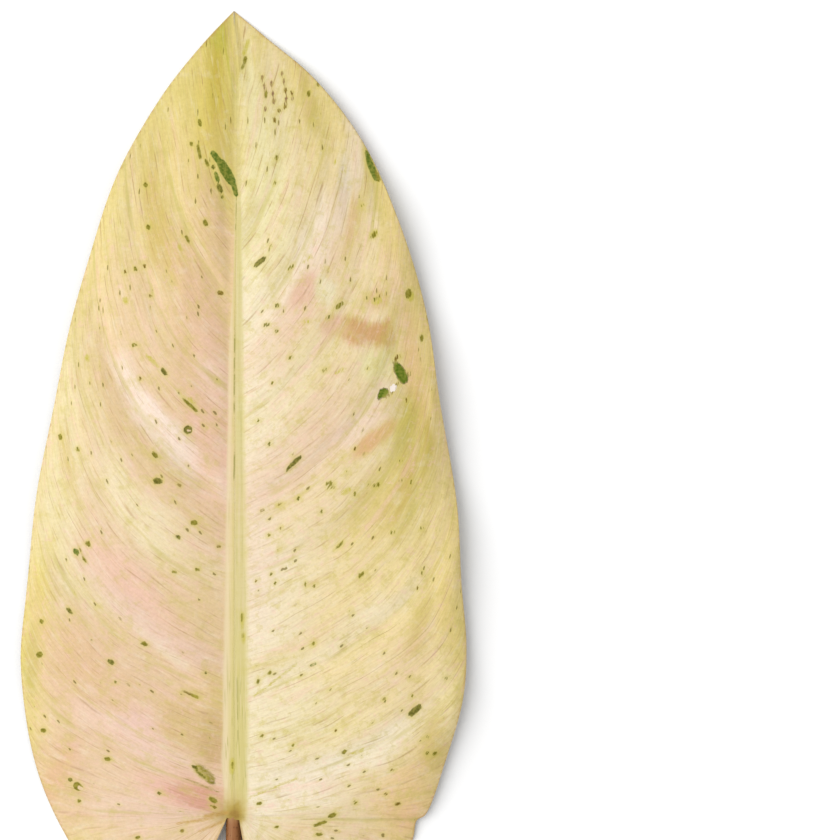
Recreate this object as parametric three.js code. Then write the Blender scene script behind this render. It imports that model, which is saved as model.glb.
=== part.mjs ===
// A single philodendron leaf, picked with its stalk and lying face up on a table. Millimetres, +Z up.
//
// The blade is drawn first in its own plan: x is across, y runs along the midrib from near the head of
// the stalk (0) to the tip. Each half is a patch of side veins. A side vein leaves the midrib, bends
// forward and ends on the margin. In the two lobes behind the stalk, the veins fan out from its head.
// Top and bottom are the same patch, a thickness apart. At the end, the whole leaf is moved so that
// its origin is the middle of its footprint, on the table.
import * as THREE from "three";
import { mergeVertices } from "three/addons/utils/BufferGeometryUtils.js";

const { clamp, lerp, smoothstep, smootherstep } = THREE.MathUtils;

// Driving sizes of the blade
const MIDRIB_LENGTH = 189.5;
const BLADE_THICKNESS = 0.85;
const TABLE_CLEARANCE = 0.02;
const LEFT = -1;
const RIGHT = 1;

// The margin of each half, from the inner corner of its lobe, round the lobe and up to the tip.
const LEFT_MARGIN = [
  [-9.6, -14.4], [-13, -17.4], [-19.4, -18.9], [-28.2, -16.4], [-35.2, -10.4], [-40.4, -2.4],
  [-45.6, 9.6], [-48.7, 23], [-49.8, 37], [-48.9, 51], [-45.9, 77], [-40.9, 103], [-34.7, 129],
  [-26.5, 152.5], [-17.3, 169], [-7.1, 182.2], [-0.4, 189.5],
];
const RIGHT_MARGIN = [
  [4.6, -14.3], [8.8, -17.5], [17, -19], [26.6, -17.2], [35.6, -11.4], [41.3, -4.6], [42.4, 0.2],
  [44.3, 1.4], [49.2, 14.6], [53.2, 29], [54, 41], [52.8, 56], [51.8, 74], [47.8, 98], [44.6, 119],
  [38.4, 139.5], [29.8, 158.6], [18.4, 173.4], [7.4, 182.9], [-0.4, 189.5],
];

// The midrib: places along it, its middle's drift to the side there, and half its width there.
const MIDRIB_AT = [0, 14, 28, 44, 80, 122, 150, 170, 189.5];
const MIDRIB_DRIFT = [0.4, 0.35, 0.4, 0.5, 0.55, 0.6, 0.75, 0.45, -0.4];
const MIDRIB_HALF_WIDTH = [2.5, 2.8, 2.7, 2.45, 1.9, 1.3, 0.7, 0.35, 0.12];
const MIDRIB_CROWN = 0.35;

// The head of the stalk: its place along the plan. Each half opens round it at its own angle, this far
// behind it, so that the right lobe lies closer over the stalk.
const HEAD_AT = 2.2;
const HEAD_OPENING = { [LEFT]: THREE.MathUtils.degToRad(55), [RIGHT]: THREE.MathUtils.degToRad(20) };
const HEAD_DROP = 0.75;

// Share of the margin's length that belongs to the fan of veins in the lobe.
const FAN_SHARE = 0.275;
// Length of midrib that the fan stands for, where a vein is named by its place on the midrib.
const FAN_REACH = 26;

// Bend of the side veins: at each share of the margin, how far across and along the bend lies.
const BEND_AT = [0, 0.16, 0.3, 0.5, 0.75, 0.9, 1];
const BEND_ACROSS = [0.42, 0.6, 0.86, 0.95, 0.95, 0.75, 0.55];
const BEND_ALONG = [0.5, 0.42, 0.46, 0.34, 0.28, 0.3, 0.4];

// Height of the midrib above the table, from the lobes to the tip.
const SPINE_AT = [-20, 0, 30, 70, 110, 145, 172, 184, 189.5];
const SPINE_HEIGHT = [4.9, 5.5, 6.7, 7.7, 7.5, 5.9, 3, 1.2, 0.45];
const TIP_REACH = 45;

// Each half rises from the midrib to a crest, lower in the lobes, and falls to the margin.
const CREST_RISE = 3.1;
const CREST_STEEPNESS = 0.15;
const CREST_IN_LOBE = 0.55;

// Height of the two margins above the table, at shares of the margin from the lobe to the tip.
const MARGIN_AT = [0, 0.07, 0.14, 0.22, 0.34, 0.5, 0.7, 0.86, 0.95, 1];
const MARGIN_HEIGHT = {
  [LEFT]: [2.4, 1.1, 0.45, 1.4, 3, 3.6, 4, 3, 1.4, 0.45],
  [RIGHT]: [2.6, 1.1, 0.45, 3.2, 4.9, 5.4, 5.2, 3.8, 1.7, 0.45],
};

// The margin's slow waves: height, number along the margin, and phase of each side.
const WAVE_HEIGHT = 0.9;
const WAVE_COUNT = 6.5;
const WAVE_PHASE = { [LEFT]: 0.4, [RIGHT]: 2.2 };

// The main side veins lie in valleys: each one's place on the midrib, and its depth. A valley is
// broad on the side of the stalk and narrow on the side of the tip.
const VALLEYS = {
  [LEFT]: [
    [-17, 0.35], [-8, 0.4], [5, 0.7], [28.5, 0.95], [52.5, 0.45], [77, 1.15], [100, 0.4], [121, 0.8],
    [140.5, 0.4],
  ],
  [RIGHT]: [
    [-17, 0.35], [-8, 0.4], [5.5, 0.9], [28, 0.95], [55.5, 0.45], [72, 0.8], [93, 0.45], [114, 0.5],
    [133.5, 0.35],
  ],
};
const VALLEY_WIDTH_TO_STALK = 5.5;
const VALLEY_WIDTH_TO_TIP = 2.6;

// The midrib stands out below the blade as a rounded rib, deepest at the stalk.
const RIB_DEPTH = 2.9;

// The stalk: round, with a shallow groove on top. It starts a gap behind the head, comes down to the
// table and swings to the right.
const STALK_LENGTH = 78;
const STALK_HEAD_X = -0.3;
const STALK_RADIUS_AT_HEAD = 2.05;
const STALK_RADIUS_AT_CUT = 2.35;
const STALK_SINKS = 0.35;
const STALK_LANDS_AT = 22;
const STALK_SWING = 4.5;
const STALK_GROOVE = 0.35;
const STALK_GAP = 0.9;
const CUT_SLANT = 0.35;

// How finely each piece is divided
const ROWS = 64;
const HALF_COLUMNS = 13;
const MIDRIB_COLUMNS = 6;
const STALK_SIDES = 16;
const STALK_STEPS = 40;

/** Value at x of the smooth curve through the points (xs, ys). */
function curveAt(xs, ys, x) {
  const last = xs.length - 1;
  if (x <= xs[0]) return ys[0];
  if (x >= xs[last]) return ys[last];
  const k = xs.findIndex((value) => value > x) - 1;
  const slope = (i) => {
    const before = Math.max(i - 1, 0);
    const after = Math.min(i + 1, last);
    return (ys[after] - ys[before]) / (xs[after] - xs[before]);
  };
  const span = xs[k + 1] - xs[k];
  const t = (x - xs[k]) / span;
  const rise = ys[k + 1] - ys[k];
  const a = slope(k) * span - rise;
  const b = rise - slope(k + 1) * span;
  return ys[k] + rise * t + t * (1 - t) * (a * (1 - t) + b * t);
}

/** The margin of one half, as a function from the share of its length to the point there. */
function marginOf(points) {
  const curve = new THREE.CatmullRomCurve3(points.map(([x, y]) => new THREE.Vector3(x, y, 0)));
  return (share) => curve.getPointAt(clamp(share, 0, 1));
}

const margins = { [LEFT]: marginOf(LEFT_MARGIN), [RIGHT]: marginOf(RIGHT_MARGIN) };

/** Place on the midrib of the root of the side vein that ends at a share of the margin. */
function rootAlong(share) {
  const s = (share - FAN_SHARE) / (1 - FAN_SHARE);
  if (s <= 0) return FAN_REACH * (share / FAN_SHARE - 1);
  return MIDRIB_LENGTH * (1 - (1 - s ** 1.25) ** 0.62);
}

/** Point where a side vein leaves the midrib, or the head of the stalk for a vein of the lobe. */
function rootPoint(side, vein) {
  const halfWidth = curveAt(MIDRIB_AT, MIDRIB_HALF_WIDTH, vein);
  const middle = curveAt(MIDRIB_AT, MIDRIB_DRIFT, vein);
  const along = lerp(HEAD_AT, MIDRIB_LENGTH, vein / MIDRIB_LENGTH);
  if (vein > 0) return new THREE.Vector2(middle + side * halfWidth, along);
  const turn = lerp(Math.PI / 2, HEAD_OPENING[side], -vein / FAN_REACH);
  const behind = 2 * HEAD_DROP * Math.cos(turn);
  return new THREE.Vector2(middle + side * halfWidth * Math.sin(turn), HEAD_AT - behind);
}

/** Point in plan on one half: share picks the vein, t runs along it from the midrib to the margin. */
function planPoint(side, share, t) {
  const root = rootPoint(side, rootAlong(share));
  const end = margins[side](share);
  const bendX = lerp(root.x, end.x, curveAt(BEND_AT, BEND_ACROSS, share));
  const bendY = lerp(root.y, end.y, curveAt(BEND_AT, BEND_ALONG, share));
  const u = 1 - t;
  return new THREE.Vector2(
    u * u * root.x + 2 * u * t * bendX + t * t * end.x,
    u * u * root.y + 2 * u * t * bendY + t * t * end.y,
  );
}

/** Depth of the valleys of the main side veins at a point of the blade. */
function valleyDepth(side, vein, t) {
  const along = smoothstep(t, 0, 0.12) * (1 - t ** 3);
  return VALLEYS[side].reduce((sum, [root, depth]) => {
    const width = vein < root ? VALLEY_WIDTH_TO_STALK : VALLEY_WIDTH_TO_TIP;
    return sum + depth * along * Math.exp(-(((vein - root) / width) ** 2));
  }, 0);
}

/** Height of the middle of the blade's thickness above the table. */
function bladeHeight(side, share, t, along) {
  const nearTip = smoothstep(MIDRIB_LENGTH - along, 0, TIP_REACH);
  const inLobe = 1 - smoothstep(share, 0, FAN_SHARE);
  const spine = curveAt(SPINE_AT, SPINE_HEIGHT, along);
  const edge = curveAt(MARGIN_AT, MARGIN_HEIGHT[side], share);
  const fall = lerp(spine, edge, t ** 1.8);
  const crest = CREST_RISE * lerp(1, CREST_IN_LOBE, inLobe) * nearTip
    * (1 - Math.exp(-t / CREST_STEEPNESS)) * (1 - t ** 3);
  const wave = WAVE_HEIGHT * t ** 2.5 * smoothstep(share, 0.24, 0.34) * nearTip
    * Math.sin(2 * Math.PI * WAVE_COUNT * share + WAVE_PHASE[side]);
  return fall + crest + wave - valleyDepth(side, rootAlong(share), t) * nearTip;
}

/** One row of the blade, margin to margin. Each point has x, y, its middle height and its rib's share. */
function bladeRow(share) {
  const halfPoint = (side, t) => {
    const p = planPoint(side, share, t);
    return [p.x, p.y, bladeHeight(side, share, t, p.y), 0];
  };
  // Points lie closer together near the midrib.
  const half = (side) => {
    const points = [];
    for (let j = 0; j <= HALF_COLUMNS; j++) {
      const even = j / HALF_COLUMNS;
      points.push(halfPoint(side, (even + (1 - Math.cos(Math.PI * even)) / 2) / 2));
    }
    return points;
  };
  const left = half(LEFT);
  const right = half(RIGHT);
  const midrib = [];
  for (let j = 1; j < MIDRIB_COLUMNS; j++) {
    const f = j / MIDRIB_COLUMNS;
    const point = left[0].map((value, k) => lerp(value, right[0][k], f));
    point[3] = Math.sqrt(1 - (2 * f - 1) ** 2);
    midrib.push(point);
  }
  return [...left.reverse(), ...midrib, ...right];
}

/** A closed mesh from the list of its vertices and of its triangles, without those of no area. */
function solidGeometry(vertices, triangles) {
  const geometry = new THREE.BufferGeometry();
  geometry.setAttribute("position", new THREE.Float32BufferAttribute(vertices.flat(), 3));
  geometry.setIndex(triangles.flat());
  const merged = mergeVertices(geometry, 1e-3);
  const index = merged.index.array;
  const kept = [];
  for (let i = 0; i < index.length; i += 3) {
    const [a, b, c] = index.slice(i, i + 3);
    if (a !== b && b !== c && c !== a) kept.push(a, b, c);
  }
  merged.setIndex(kept);
  merged.computeVertexNormals();
  return merged;
}

/** The blade with its midrib: two alike skins, closed round the margin and at the stalk. */
function bladeGeometry() {
  const rows = [];
  for (let i = 0; i < ROWS; i++) rows.push(bladeRow(1 - (1 - i / ROWS) ** 1.15));
  const [tipX, tipY] = LEFT_MARGIN.at(-1);
  rows.push(rows[0].map(() => [tipX, tipY, SPINE_HEIGHT.at(-1), 0]));

  const columns = rows[0].length;
  const half = BLADE_THICKNESS / 2;
  const top = [];
  const bottom = [];
  for (const [x, y, z, rib] of rows.flat()) {
    const ribFades = (1 - clamp(y / MIDRIB_LENGTH, 0, 1)) ** 0.8;
    const middle = Math.max(z, half + TABLE_CLEARANCE);
    top.push([x, y, middle + half + MIDRIB_CROWN * rib * ribFades]);
    bottom.push([x, y, middle - half - RIB_DEPTH * rib * ribFades]);
  }

  const under = top.length;
  const at = (i, j) => i * columns + j;
  const triangles = [];
  const quad = (a, b, c, d) => triangles.push([a, b, c], [a, c, d]);
  for (let i = 0; i < rows.length - 1; i++) {
    for (let j = 0; j < columns - 1; j++) {
      const [a, b, c, d] = [at(i, j), at(i, j + 1), at(i + 1, j + 1), at(i + 1, j)];
      quad(a, b, c, d);
      triangles.push([under + a, under + c, under + b], [under + a, under + d, under + c]);
    }
    const [left, leftNext] = [at(i, 0), at(i + 1, 0)];
    quad(left, leftNext, under + leftNext, under + left);
    const [right, rightNext] = [at(i, columns - 1), at(i + 1, columns - 1)];
    quad(rightNext, right, under + right, under + rightNext);
  }
  for (let j = 0; j < columns - 1; j++) quad(j + 1, j, under + j, under + j + 1);
  return solidGeometry([...top, ...bottom], triangles);
}

/** The stalk: a tapered round sweep with a shallow groove on top, down to the table and along it. */
function stalkGeometry() {
  const headY = HEAD_AT - HEAD_DROP - STALK_GAP;
  const bladeTop = curveAt(SPINE_AT, SPINE_HEIGHT, 0) + BLADE_THICKNESS / 2;
  const headZ = bladeTop - STALK_RADIUS_AT_HEAD - STALK_SINKS;
  // A flat side faces down, so that the stalk lies on it.
  const sideHeight = Math.cos(Math.PI / STALK_SIDES);
  const vertices = [];
  const triangles = [];
  const at = (i, k) => i * STALK_SIDES + (k % STALK_SIDES);
  for (let i = 0; i <= STALK_STEPS; i++) {
    const f = i / STALK_STEPS;
    const along = f * STALK_LENGTH;
    const radius = lerp(STALK_RADIUS_AT_HEAD, STALK_RADIUS_AT_CUT, f);
    const landed = smootherstep(along, 0, STALK_LANDS_AT);
    const middle = lerp(headZ, radius * sideHeight, landed);
    for (let k = 0; k < STALK_SIDES; k++) {
      const turn = ((k + 0.5) / STALK_SIDES) * 2 * Math.PI - Math.PI / 2;
      const x = STALK_HEAD_X + STALK_SWING * f * f + radius * Math.cos(turn);
      const z = radius * Math.sin(turn) - STALK_GROOVE * Math.max(0, Math.sin(turn)) ** 6;
      const slant = i === STALK_STEPS ? CUT_SLANT * z : 0;
      vertices.push([x, headY - along + slant, middle + z]);
    }
  }
  const quad = (a, b, c, d) => triangles.push([a, b, c], [a, c, d]);
  for (let i = 0; i < STALK_STEPS; i++) {
    for (let k = 0; k < STALK_SIDES; k++) quad(at(i, k), at(i, k + 1), at(i + 1, k + 1), at(i + 1, k));
  }
  for (let k = 1; k < STALK_SIDES - 1; k++) {
    triangles.push([at(0, 0), at(0, k + 1), at(0, k)]);
    triangles.push([at(STALK_STEPS, 0), at(STALK_STEPS, k), at(STALK_STEPS, k + 1)]);
  }
  return solidGeometry(vertices, triangles);
}

/** A named mesh with the colour of its part of the leaf. */
function piece(name, geometry, color, roughness) {
  const material = new THREE.MeshStandardMaterial({ color, roughness, metalness: 0 });
  const mesh = new THREE.Mesh(geometry, material);
  mesh.name = name;
  return mesh;
}

const leaf = new THREE.Group();
leaf.add(piece("blade", bladeGeometry(), 0xe6ce9d, 0.45));
leaf.add(piece("petiole", stalkGeometry(), 0x9d6b42, 0.5));

const footprint = new THREE.Box3().setFromObject(leaf);
const middle = footprint.getCenter(new THREE.Vector3());
leaf.position.set(-middle.x, -middle.y, -footprint.min.z);

export default leaf;
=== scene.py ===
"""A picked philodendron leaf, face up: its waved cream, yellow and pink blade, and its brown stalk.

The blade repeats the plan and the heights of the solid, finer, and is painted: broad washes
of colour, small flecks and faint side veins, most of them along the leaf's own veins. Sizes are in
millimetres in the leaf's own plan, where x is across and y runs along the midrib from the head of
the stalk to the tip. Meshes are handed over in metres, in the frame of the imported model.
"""

import logging
import math
from collections.abc import Mapping, Sequence
from dataclasses import dataclass, field
from enum import Enum
from typing import Any

import bpy
import numpy as np
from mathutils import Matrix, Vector

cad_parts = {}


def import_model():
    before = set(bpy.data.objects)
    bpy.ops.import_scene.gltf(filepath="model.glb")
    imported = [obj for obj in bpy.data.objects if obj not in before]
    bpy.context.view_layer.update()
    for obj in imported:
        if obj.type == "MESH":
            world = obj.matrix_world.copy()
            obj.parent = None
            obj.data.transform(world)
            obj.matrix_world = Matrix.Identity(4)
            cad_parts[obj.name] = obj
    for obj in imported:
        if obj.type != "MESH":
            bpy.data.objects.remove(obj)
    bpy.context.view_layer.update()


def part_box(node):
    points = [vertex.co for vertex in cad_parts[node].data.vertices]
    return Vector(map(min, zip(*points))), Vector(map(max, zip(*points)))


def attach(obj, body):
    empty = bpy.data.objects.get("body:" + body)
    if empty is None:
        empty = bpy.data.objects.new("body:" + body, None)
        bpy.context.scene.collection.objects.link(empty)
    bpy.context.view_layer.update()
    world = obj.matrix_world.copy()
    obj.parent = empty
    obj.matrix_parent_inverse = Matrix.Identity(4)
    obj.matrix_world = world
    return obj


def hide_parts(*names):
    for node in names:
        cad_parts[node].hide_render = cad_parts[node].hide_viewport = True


LOG = logging.getLogger("leaf")
MM = 0.001
Array = np.ndarray
Colour = tuple[int, int, int]
Numbers = Sequence[float]
NOISE_STEPS = 256
STUDIO_LIGHT = 1.11
SHEEN = 0.008
DARKEST = 0.004


class Side(Enum):
    """The two halves of the blade, seen from above with the tip away."""

    LEFT = -1
    RIGHT = 1


# Shaping helpers


def smoothstep(x: Array | float, low: float, high: float) -> Array:
    """Share from 0 to 1 that rises smoothly as x goes from low to high."""
    t = np.clip((np.asarray(x, float) - low) / (high - low), 0, 1)
    return t * t * (3 - 2 * t)


def smootherstep(x: Array | float, low: float, high: float) -> Array:
    """As smoothstep, with a softer start and end."""
    t = np.clip((np.asarray(x, float) - low) / (high - low), 0, 1)
    return t**3 * (t * (t * 6 - 15) + 10)


def lerp(a: Array | float, b: Array | float, share: Array | float) -> Array:
    """Value between a and b at a share of the way."""
    return a + (b - a) * share


def to_linear(colour: Colour) -> Array:
    """Light values of a colour given as it looks, from 0 to 255 a channel."""
    c = np.array(colour, float) / 255
    return np.where(c <= 0.04045, c / 12.92, ((c + 0.055) / 1.055) ** 2.4)


def to_paint(colour: Colour) -> Array:
    """Reflectance with which a surface looks like a colour in the studio's light."""
    return np.maximum(to_linear(colour) / STUDIO_LIGHT - SHEEN, DARKEST)


def value_noise(x: Array, y: Array, seed: int) -> Array:
    """Smooth random heights from -1 to 1, with one random value at each whole step of x and y.

    Args:
        x: Places along the first direction.
        y: Places along the second direction.
        seed: Which random field.

    Returns:
        The heights, in the shape of x.
    """
    lattice = np.random.default_rng(seed).uniform(-1, 1, (NOISE_STEPS, NOISE_STEPS))
    i, j = np.floor(x).astype(int), np.floor(y).astype(int)
    u, v = x - i, y - j
    u, v = u * u * (3 - 2 * u), v * v * (3 - 2 * v)

    def corner(a: int, b: int) -> Array:
        """Random values at one corner of each cell."""
        return lattice[(i + a) % NOISE_STEPS, (j + b) % NOISE_STEPS]

    return lerp(lerp(corner(0, 0), corner(1, 0), u), lerp(corner(0, 1), corner(1, 1), u), v)


@dataclass(frozen=True)
class SmoothLine:
    """The smooth line through a few given values.

    Attributes:
        at: Places of the given values, rising.
        value: The values there.
    """

    at: Numbers
    value: Numbers

    def __call__(self, x: Array | float) -> Array:
        """Values of the line at x, level before its start and after its end."""
        xs, ys = np.array(self.at, float), np.array(self.value, float)
        before = np.maximum(np.arange(len(xs)) - 1, 0)
        after = np.minimum(np.arange(len(xs)) + 1, len(xs) - 1)
        slope = (ys[after] - ys[before]) / (xs[after] - xs[before])
        x = np.clip(x, xs[0], xs[-1])
        k = np.clip(np.searchsorted(xs, x, side="right") - 1, 0, len(xs) - 2)
        span, rise = xs[k + 1] - xs[k], ys[k + 1] - ys[k]
        t = (x - xs[k]) / span
        a, b = slope[k] * span - rise, rise - slope[k + 1] * span
        return ys[k] + rise * t + t * (1 - t) * (a * (1 - t) + b * t)


class MarginLine:
    """The margin of one half of the blade, measured by shares of its length."""

    steps_a_span = 60

    def __init__(self, corners: Sequence[tuple[float, float]]) -> None:
        """Draws the line.

        Args:
            corners: Points that it passes through, from the lobe to the tip.
        """
        points = np.array(corners, float)
        first, last = 2 * points[0] - points[1], 2 * points[-1] - points[-2]
        points = np.vstack([first, points, last])
        spans = [self._span(*points[k : k + 4]) for k in range(len(points) - 3)]
        self.points = np.vstack([*spans, points[-2:-1]])
        steps = np.hypot(*np.diff(self.points, axis=0).T)
        self.shares = np.concatenate([[0], np.cumsum(steps)]) / steps.sum()

    def _span(self, p0: Array, p1: Array, p2: Array, p3: Array) -> Array:
        """Points of the rounded line between p1 and p2."""
        d0, d1, d2 = (math.sqrt(math.dist(a, b)) for a, b in ((p0, p1), (p1, p2), (p2, p3)))
        start = ((p1 - p0) / d0 - (p2 - p0) / (d0 + d1) + (p2 - p1) / d1) * d1
        end = ((p2 - p1) / d1 - (p3 - p1) / (d1 + d2) + (p3 - p2) / d2) * d1
        t = np.linspace(0, 1, self.steps_a_span, endpoint=False)[:, None]
        square = 3 * (p2 - p1) - 2 * start - end
        return p1 + start * t + square * t**2 + (2 * (p1 - p2) + start + end) * t**3

    def at(self, share: Array) -> tuple[Array, Array]:
        """The x and y of the margin at shares of its length."""
        return tuple(np.interp(share, self.shares, self.points[:, k]) for k in (0, 1))


@dataclass
class LeafPlan:
    """The leaf seen from above: its margins, its midrib and the run of its side veins."""

    length: float = 189.5
    left_margin: Sequence[tuple[float, float]] = (
        (-9.6, -14.4), (-13, -17.4), (-19.4, -18.9), (-28.2, -16.4), (-35.2, -10.4), (-40.4, -2.4),
        (-45.6, 9.6), (-48.7, 23), (-49.8, 37), (-48.9, 51), (-45.9, 77), (-40.9, 103), (-34.7, 129),
        (-26.5, 152.5), (-17.3, 169), (-7.1, 182.2), (-0.4, 189.5),
    )
    right_margin: Sequence[tuple[float, float]] = (
        (4.6, -14.3), (8.8, -17.5), (17, -19), (26.6, -17.2), (35.6, -11.4), (41.3, -4.6),
        (42.4, 0.2), (44.3, 1.4), (49.2, 14.6), (53.2, 29), (54, 41), (52.8, 56), (51.8, 74),
        (47.8, 98), (44.6, 119), (38.4, 139.5), (29.8, 158.6), (18.4, 173.4), (7.4, 182.9),
        (-0.4, 189.5),
    )
    midrib_drift: SmoothLine = SmoothLine(
        (0, 14, 28, 44, 80, 122, 150, 170, 189.5),
        (0.4, 0.35, 0.4, 0.5, 0.55, 0.6, 0.75, 0.45, -0.4),
    )
    midrib_half_width: SmoothLine = SmoothLine(
        (0, 14, 28, 44, 80, 122, 150, 170, 189.5),
        (2.5, 2.8, 2.7, 2.45, 1.9, 1.3, 0.7, 0.35, 0.12),
    )
    head_at: float = 2.2
    head_opening: Mapping[Side, float] = field(
        default_factory=lambda: {Side.LEFT: math.radians(55), Side.RIGHT: math.radians(20)}
    )
    head_drop: float = 0.75
    fan_share: float = 0.275
    fan_reach: float = 26
    root_start_power: float = 1.25
    root_end_power: float = 0.62
    bend_across: SmoothLine = SmoothLine(
        (0, 0.16, 0.3, 0.5, 0.75, 0.9, 1), (0.42, 0.6, 0.86, 0.95, 0.95, 0.75, 0.55)
    )
    bend_along: SmoothLine = SmoothLine(
        (0, 0.16, 0.3, 0.5, 0.75, 0.9, 1), (0.5, 0.42, 0.46, 0.34, 0.28, 0.3, 0.4)
    )

    def __post_init__(self) -> None:
        """Draws the two margins."""
        self.margins = {
            Side.LEFT: MarginLine(self.left_margin),
            Side.RIGHT: MarginLine(self.right_margin),
        }

    def root_along(self, share: Array) -> Array:
        """Place on the midrib of the root of the side vein that ends at a share of the margin."""
        s = (share - self.fan_share) / (1 - self.fan_share)
        in_fan = self.fan_reach * (share / self.fan_share - 1)
        left = 1 - np.maximum(s, 0) ** self.root_start_power
        return np.where(s <= 0, in_fan, self.length * (1 - left**self.root_end_power))

    def root(self, side: Side, vein: Array) -> tuple[Array, Array]:
        """The x and y where side veins leave the midrib, or the head of the stalk in the lobes."""
        half = self.midrib_half_width(vein)
        middle = self.midrib_drift(vein)
        turn = lerp(math.pi / 2, self.head_opening[side], np.maximum(-vein, 0) / self.fan_reach)
        x = middle + side.value * half * np.sin(turn)
        along = lerp(self.head_at, self.length, np.asarray(vein) / self.length)
        y = np.where(vein > 0, along, self.head_at - 2 * self.head_drop * np.cos(turn))
        return x, y

    def points(self, side: Side, share: Array, t: Array) -> tuple[Array, Array]:
        """The x and y on one half of the blade.

        Args:
            side: Which half.
            share: Which side vein, as the share of the margin where it ends.
            t: Share of the vein's run, from the midrib to the margin.

        Returns:
            x and y in the shape that share and t make together.
        """
        root_x, root_y = self.root(side, self.root_along(share))
        end_x, end_y = self.margins[side].at(share)
        bend_x = lerp(root_x, end_x, self.bend_across(share))
        bend_y = lerp(root_y, end_y, self.bend_along(share))
        u = 1 - t
        x = u * u * root_x + 2 * u * t * bend_x + t * t * end_x
        y = u * u * root_y + 2 * u * t * bend_y + t * t * end_y
        return x, y


@dataclass
class LeafRelief:
    """Heights of the blade above the table: its arched spine, crests, waves and valleys."""

    plan: LeafPlan
    spine: SmoothLine = SmoothLine(
        (-20, 0, 30, 70, 110, 145, 172, 184, 189.5), (4.9, 5.5, 6.7, 7.7, 7.5, 5.9, 3, 1.2, 0.45)
    )
    tip_reach: float = 45
    crest_rise: float = 3.1
    crest_steepness: float = 0.15
    crest_in_lobe: float = 0.55
    tip_steepness: float = 0.4
    tip_rounding: float = 0.12
    tip_soft_from: float = 100
    tip_low_from: float = 120
    tip_full_from: float = 160
    fall_power: float = 1.8
    margin_at: Numbers = (0, 0.07, 0.14, 0.22, 0.34, 0.5, 0.7, 0.86, 0.95, 1)
    left_margin: Numbers = (2.4, 1.1, 0.45, 1.4, 3, 3.6, 4, 3, 1.4, 0.45)
    right_margin: Numbers = (2.6, 1.1, 0.45, 3.2, 4.9, 5.4, 5.2, 3.8, 1.7, 0.45)
    wave_height: float = 0.9
    wave_power: float = 2.5
    wave_from: float = 0.24
    wave_full_from: float = 0.34
    wave_count: float = 6.5
    left_phase: float = 0.4
    right_phase: float = 2.2
    left_valleys: Sequence[tuple[float, float]] = (
        (-17, 0.35), (-8, 0.4), (5, 0.7), (28.5, 0.95), (52.5, 0.45), (77, 1.15), (100, 0.4),
        (121, 0.8), (140.5, 0.4),
    )
    right_valleys: Sequence[tuple[float, float]] = (
        (-17, 0.35), (-8, 0.4), (5.5, 0.6), (28, 0.6), (55.5, 0.45), (72, 0.7), (93, 0.45),
        (114, 0.5), (133.5, 0.35),
    )
    valley_starts_over: float = 0.12
    valley_to_stalk: float = 5.5
    valley_to_tip: float = 2.6

    def valleys(self, side: Side) -> Sequence[tuple[float, float]]:
        """Place on the midrib and depth of each valley of one half."""
        return self.left_valleys if side is Side.LEFT else self.right_valleys

    def valley_depth(self, side: Side, vein: Array, t: Array) -> Array:
        """Depth of the valleys in which the main side veins lie."""
        along = smoothstep(t, 0, self.valley_starts_over) * (1 - t**3)
        depth = np.zeros(np.broadcast(vein, t).shape)
        for root, deepest in self.valleys(side):
            width = np.where(vein < root, self.valley_to_stalk, self.valley_to_tip)
            depth = depth + deepest * along * np.exp(-(((vein - root) / width) ** 2))
        return depth

    def height(self, side: Side, share: Array, t: Array, y: Array) -> Array:
        """Height of the middle of the solid blade's thickness.

        Args:
            side: Which half.
            share: Which side vein, as the share of the margin where it ends.
            t: Share of the vein's run, from the midrib to the margin.
            y: Place along the midrib.

        Returns:
            Heights in the shape of y.
        """
        margin, phase = self.left_margin, self.left_phase
        if side is Side.RIGHT:
            margin, phase = self.right_margin, self.right_phase
        near_tip = smoothstep(self.plan.length - y, 0, self.tip_reach)
        in_lobe = 1 - smoothstep(share, 0, self.plan.fan_share)
        fall = lerp(self.spine(y), SmoothLine(self.margin_at, margin)(share), t**self.fall_power)
        crest = self.crest_rise * lerp(1, self.crest_in_lobe, in_lobe) * near_tip
        soft = self.tip_rounding * smoothstep(y, self.tip_soft_from, self.tip_full_from) + 1e-6
        rise = np.sqrt(t * t + soft * soft) - soft
        near_full = smoothstep(y, self.tip_low_from, self.tip_full_from)
        steepness = lerp(self.crest_steepness, self.tip_steepness, near_full)
        crest = crest * (1 - np.exp(-rise / steepness)) * (1 - t**3)
        turn = np.sin(2 * math.pi * self.wave_count * share + phase)
        on_side = smoothstep(share, self.wave_from, self.wave_full_from)
        wave = self.wave_height * t**self.wave_power * on_side * near_tip * turn
        vein = self.plan.root_along(share)
        return fall + crest + wave - self.valley_depth(side, vein, t) * near_tip


# The blade's mesh


@dataclass
class BladeSheet:
    """One skin of the blade as a grid, row by row from the lobes to the tip.

    Attributes:
        x: Places across, a row for each side vein and a column for each step from margin to margin.
        y: Places along the midrib.
        z: Height of the middle of the solid blade.
        rib: Share of the midrib's rise, 0 at its sides and 1 on its middle.
        across: Places across the midrib in halves of its width, so -1 and 1 at its sides.
        along: Way along the side vein from the midrib.
        order: Place of the side vein among the others, as a distance across them.
        side: -1 on the left half and 1 on the right.
    """

    x: Array
    y: Array
    z: Array
    rib: Array
    across: Array
    along: Array
    order: Array
    side: Array


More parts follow.
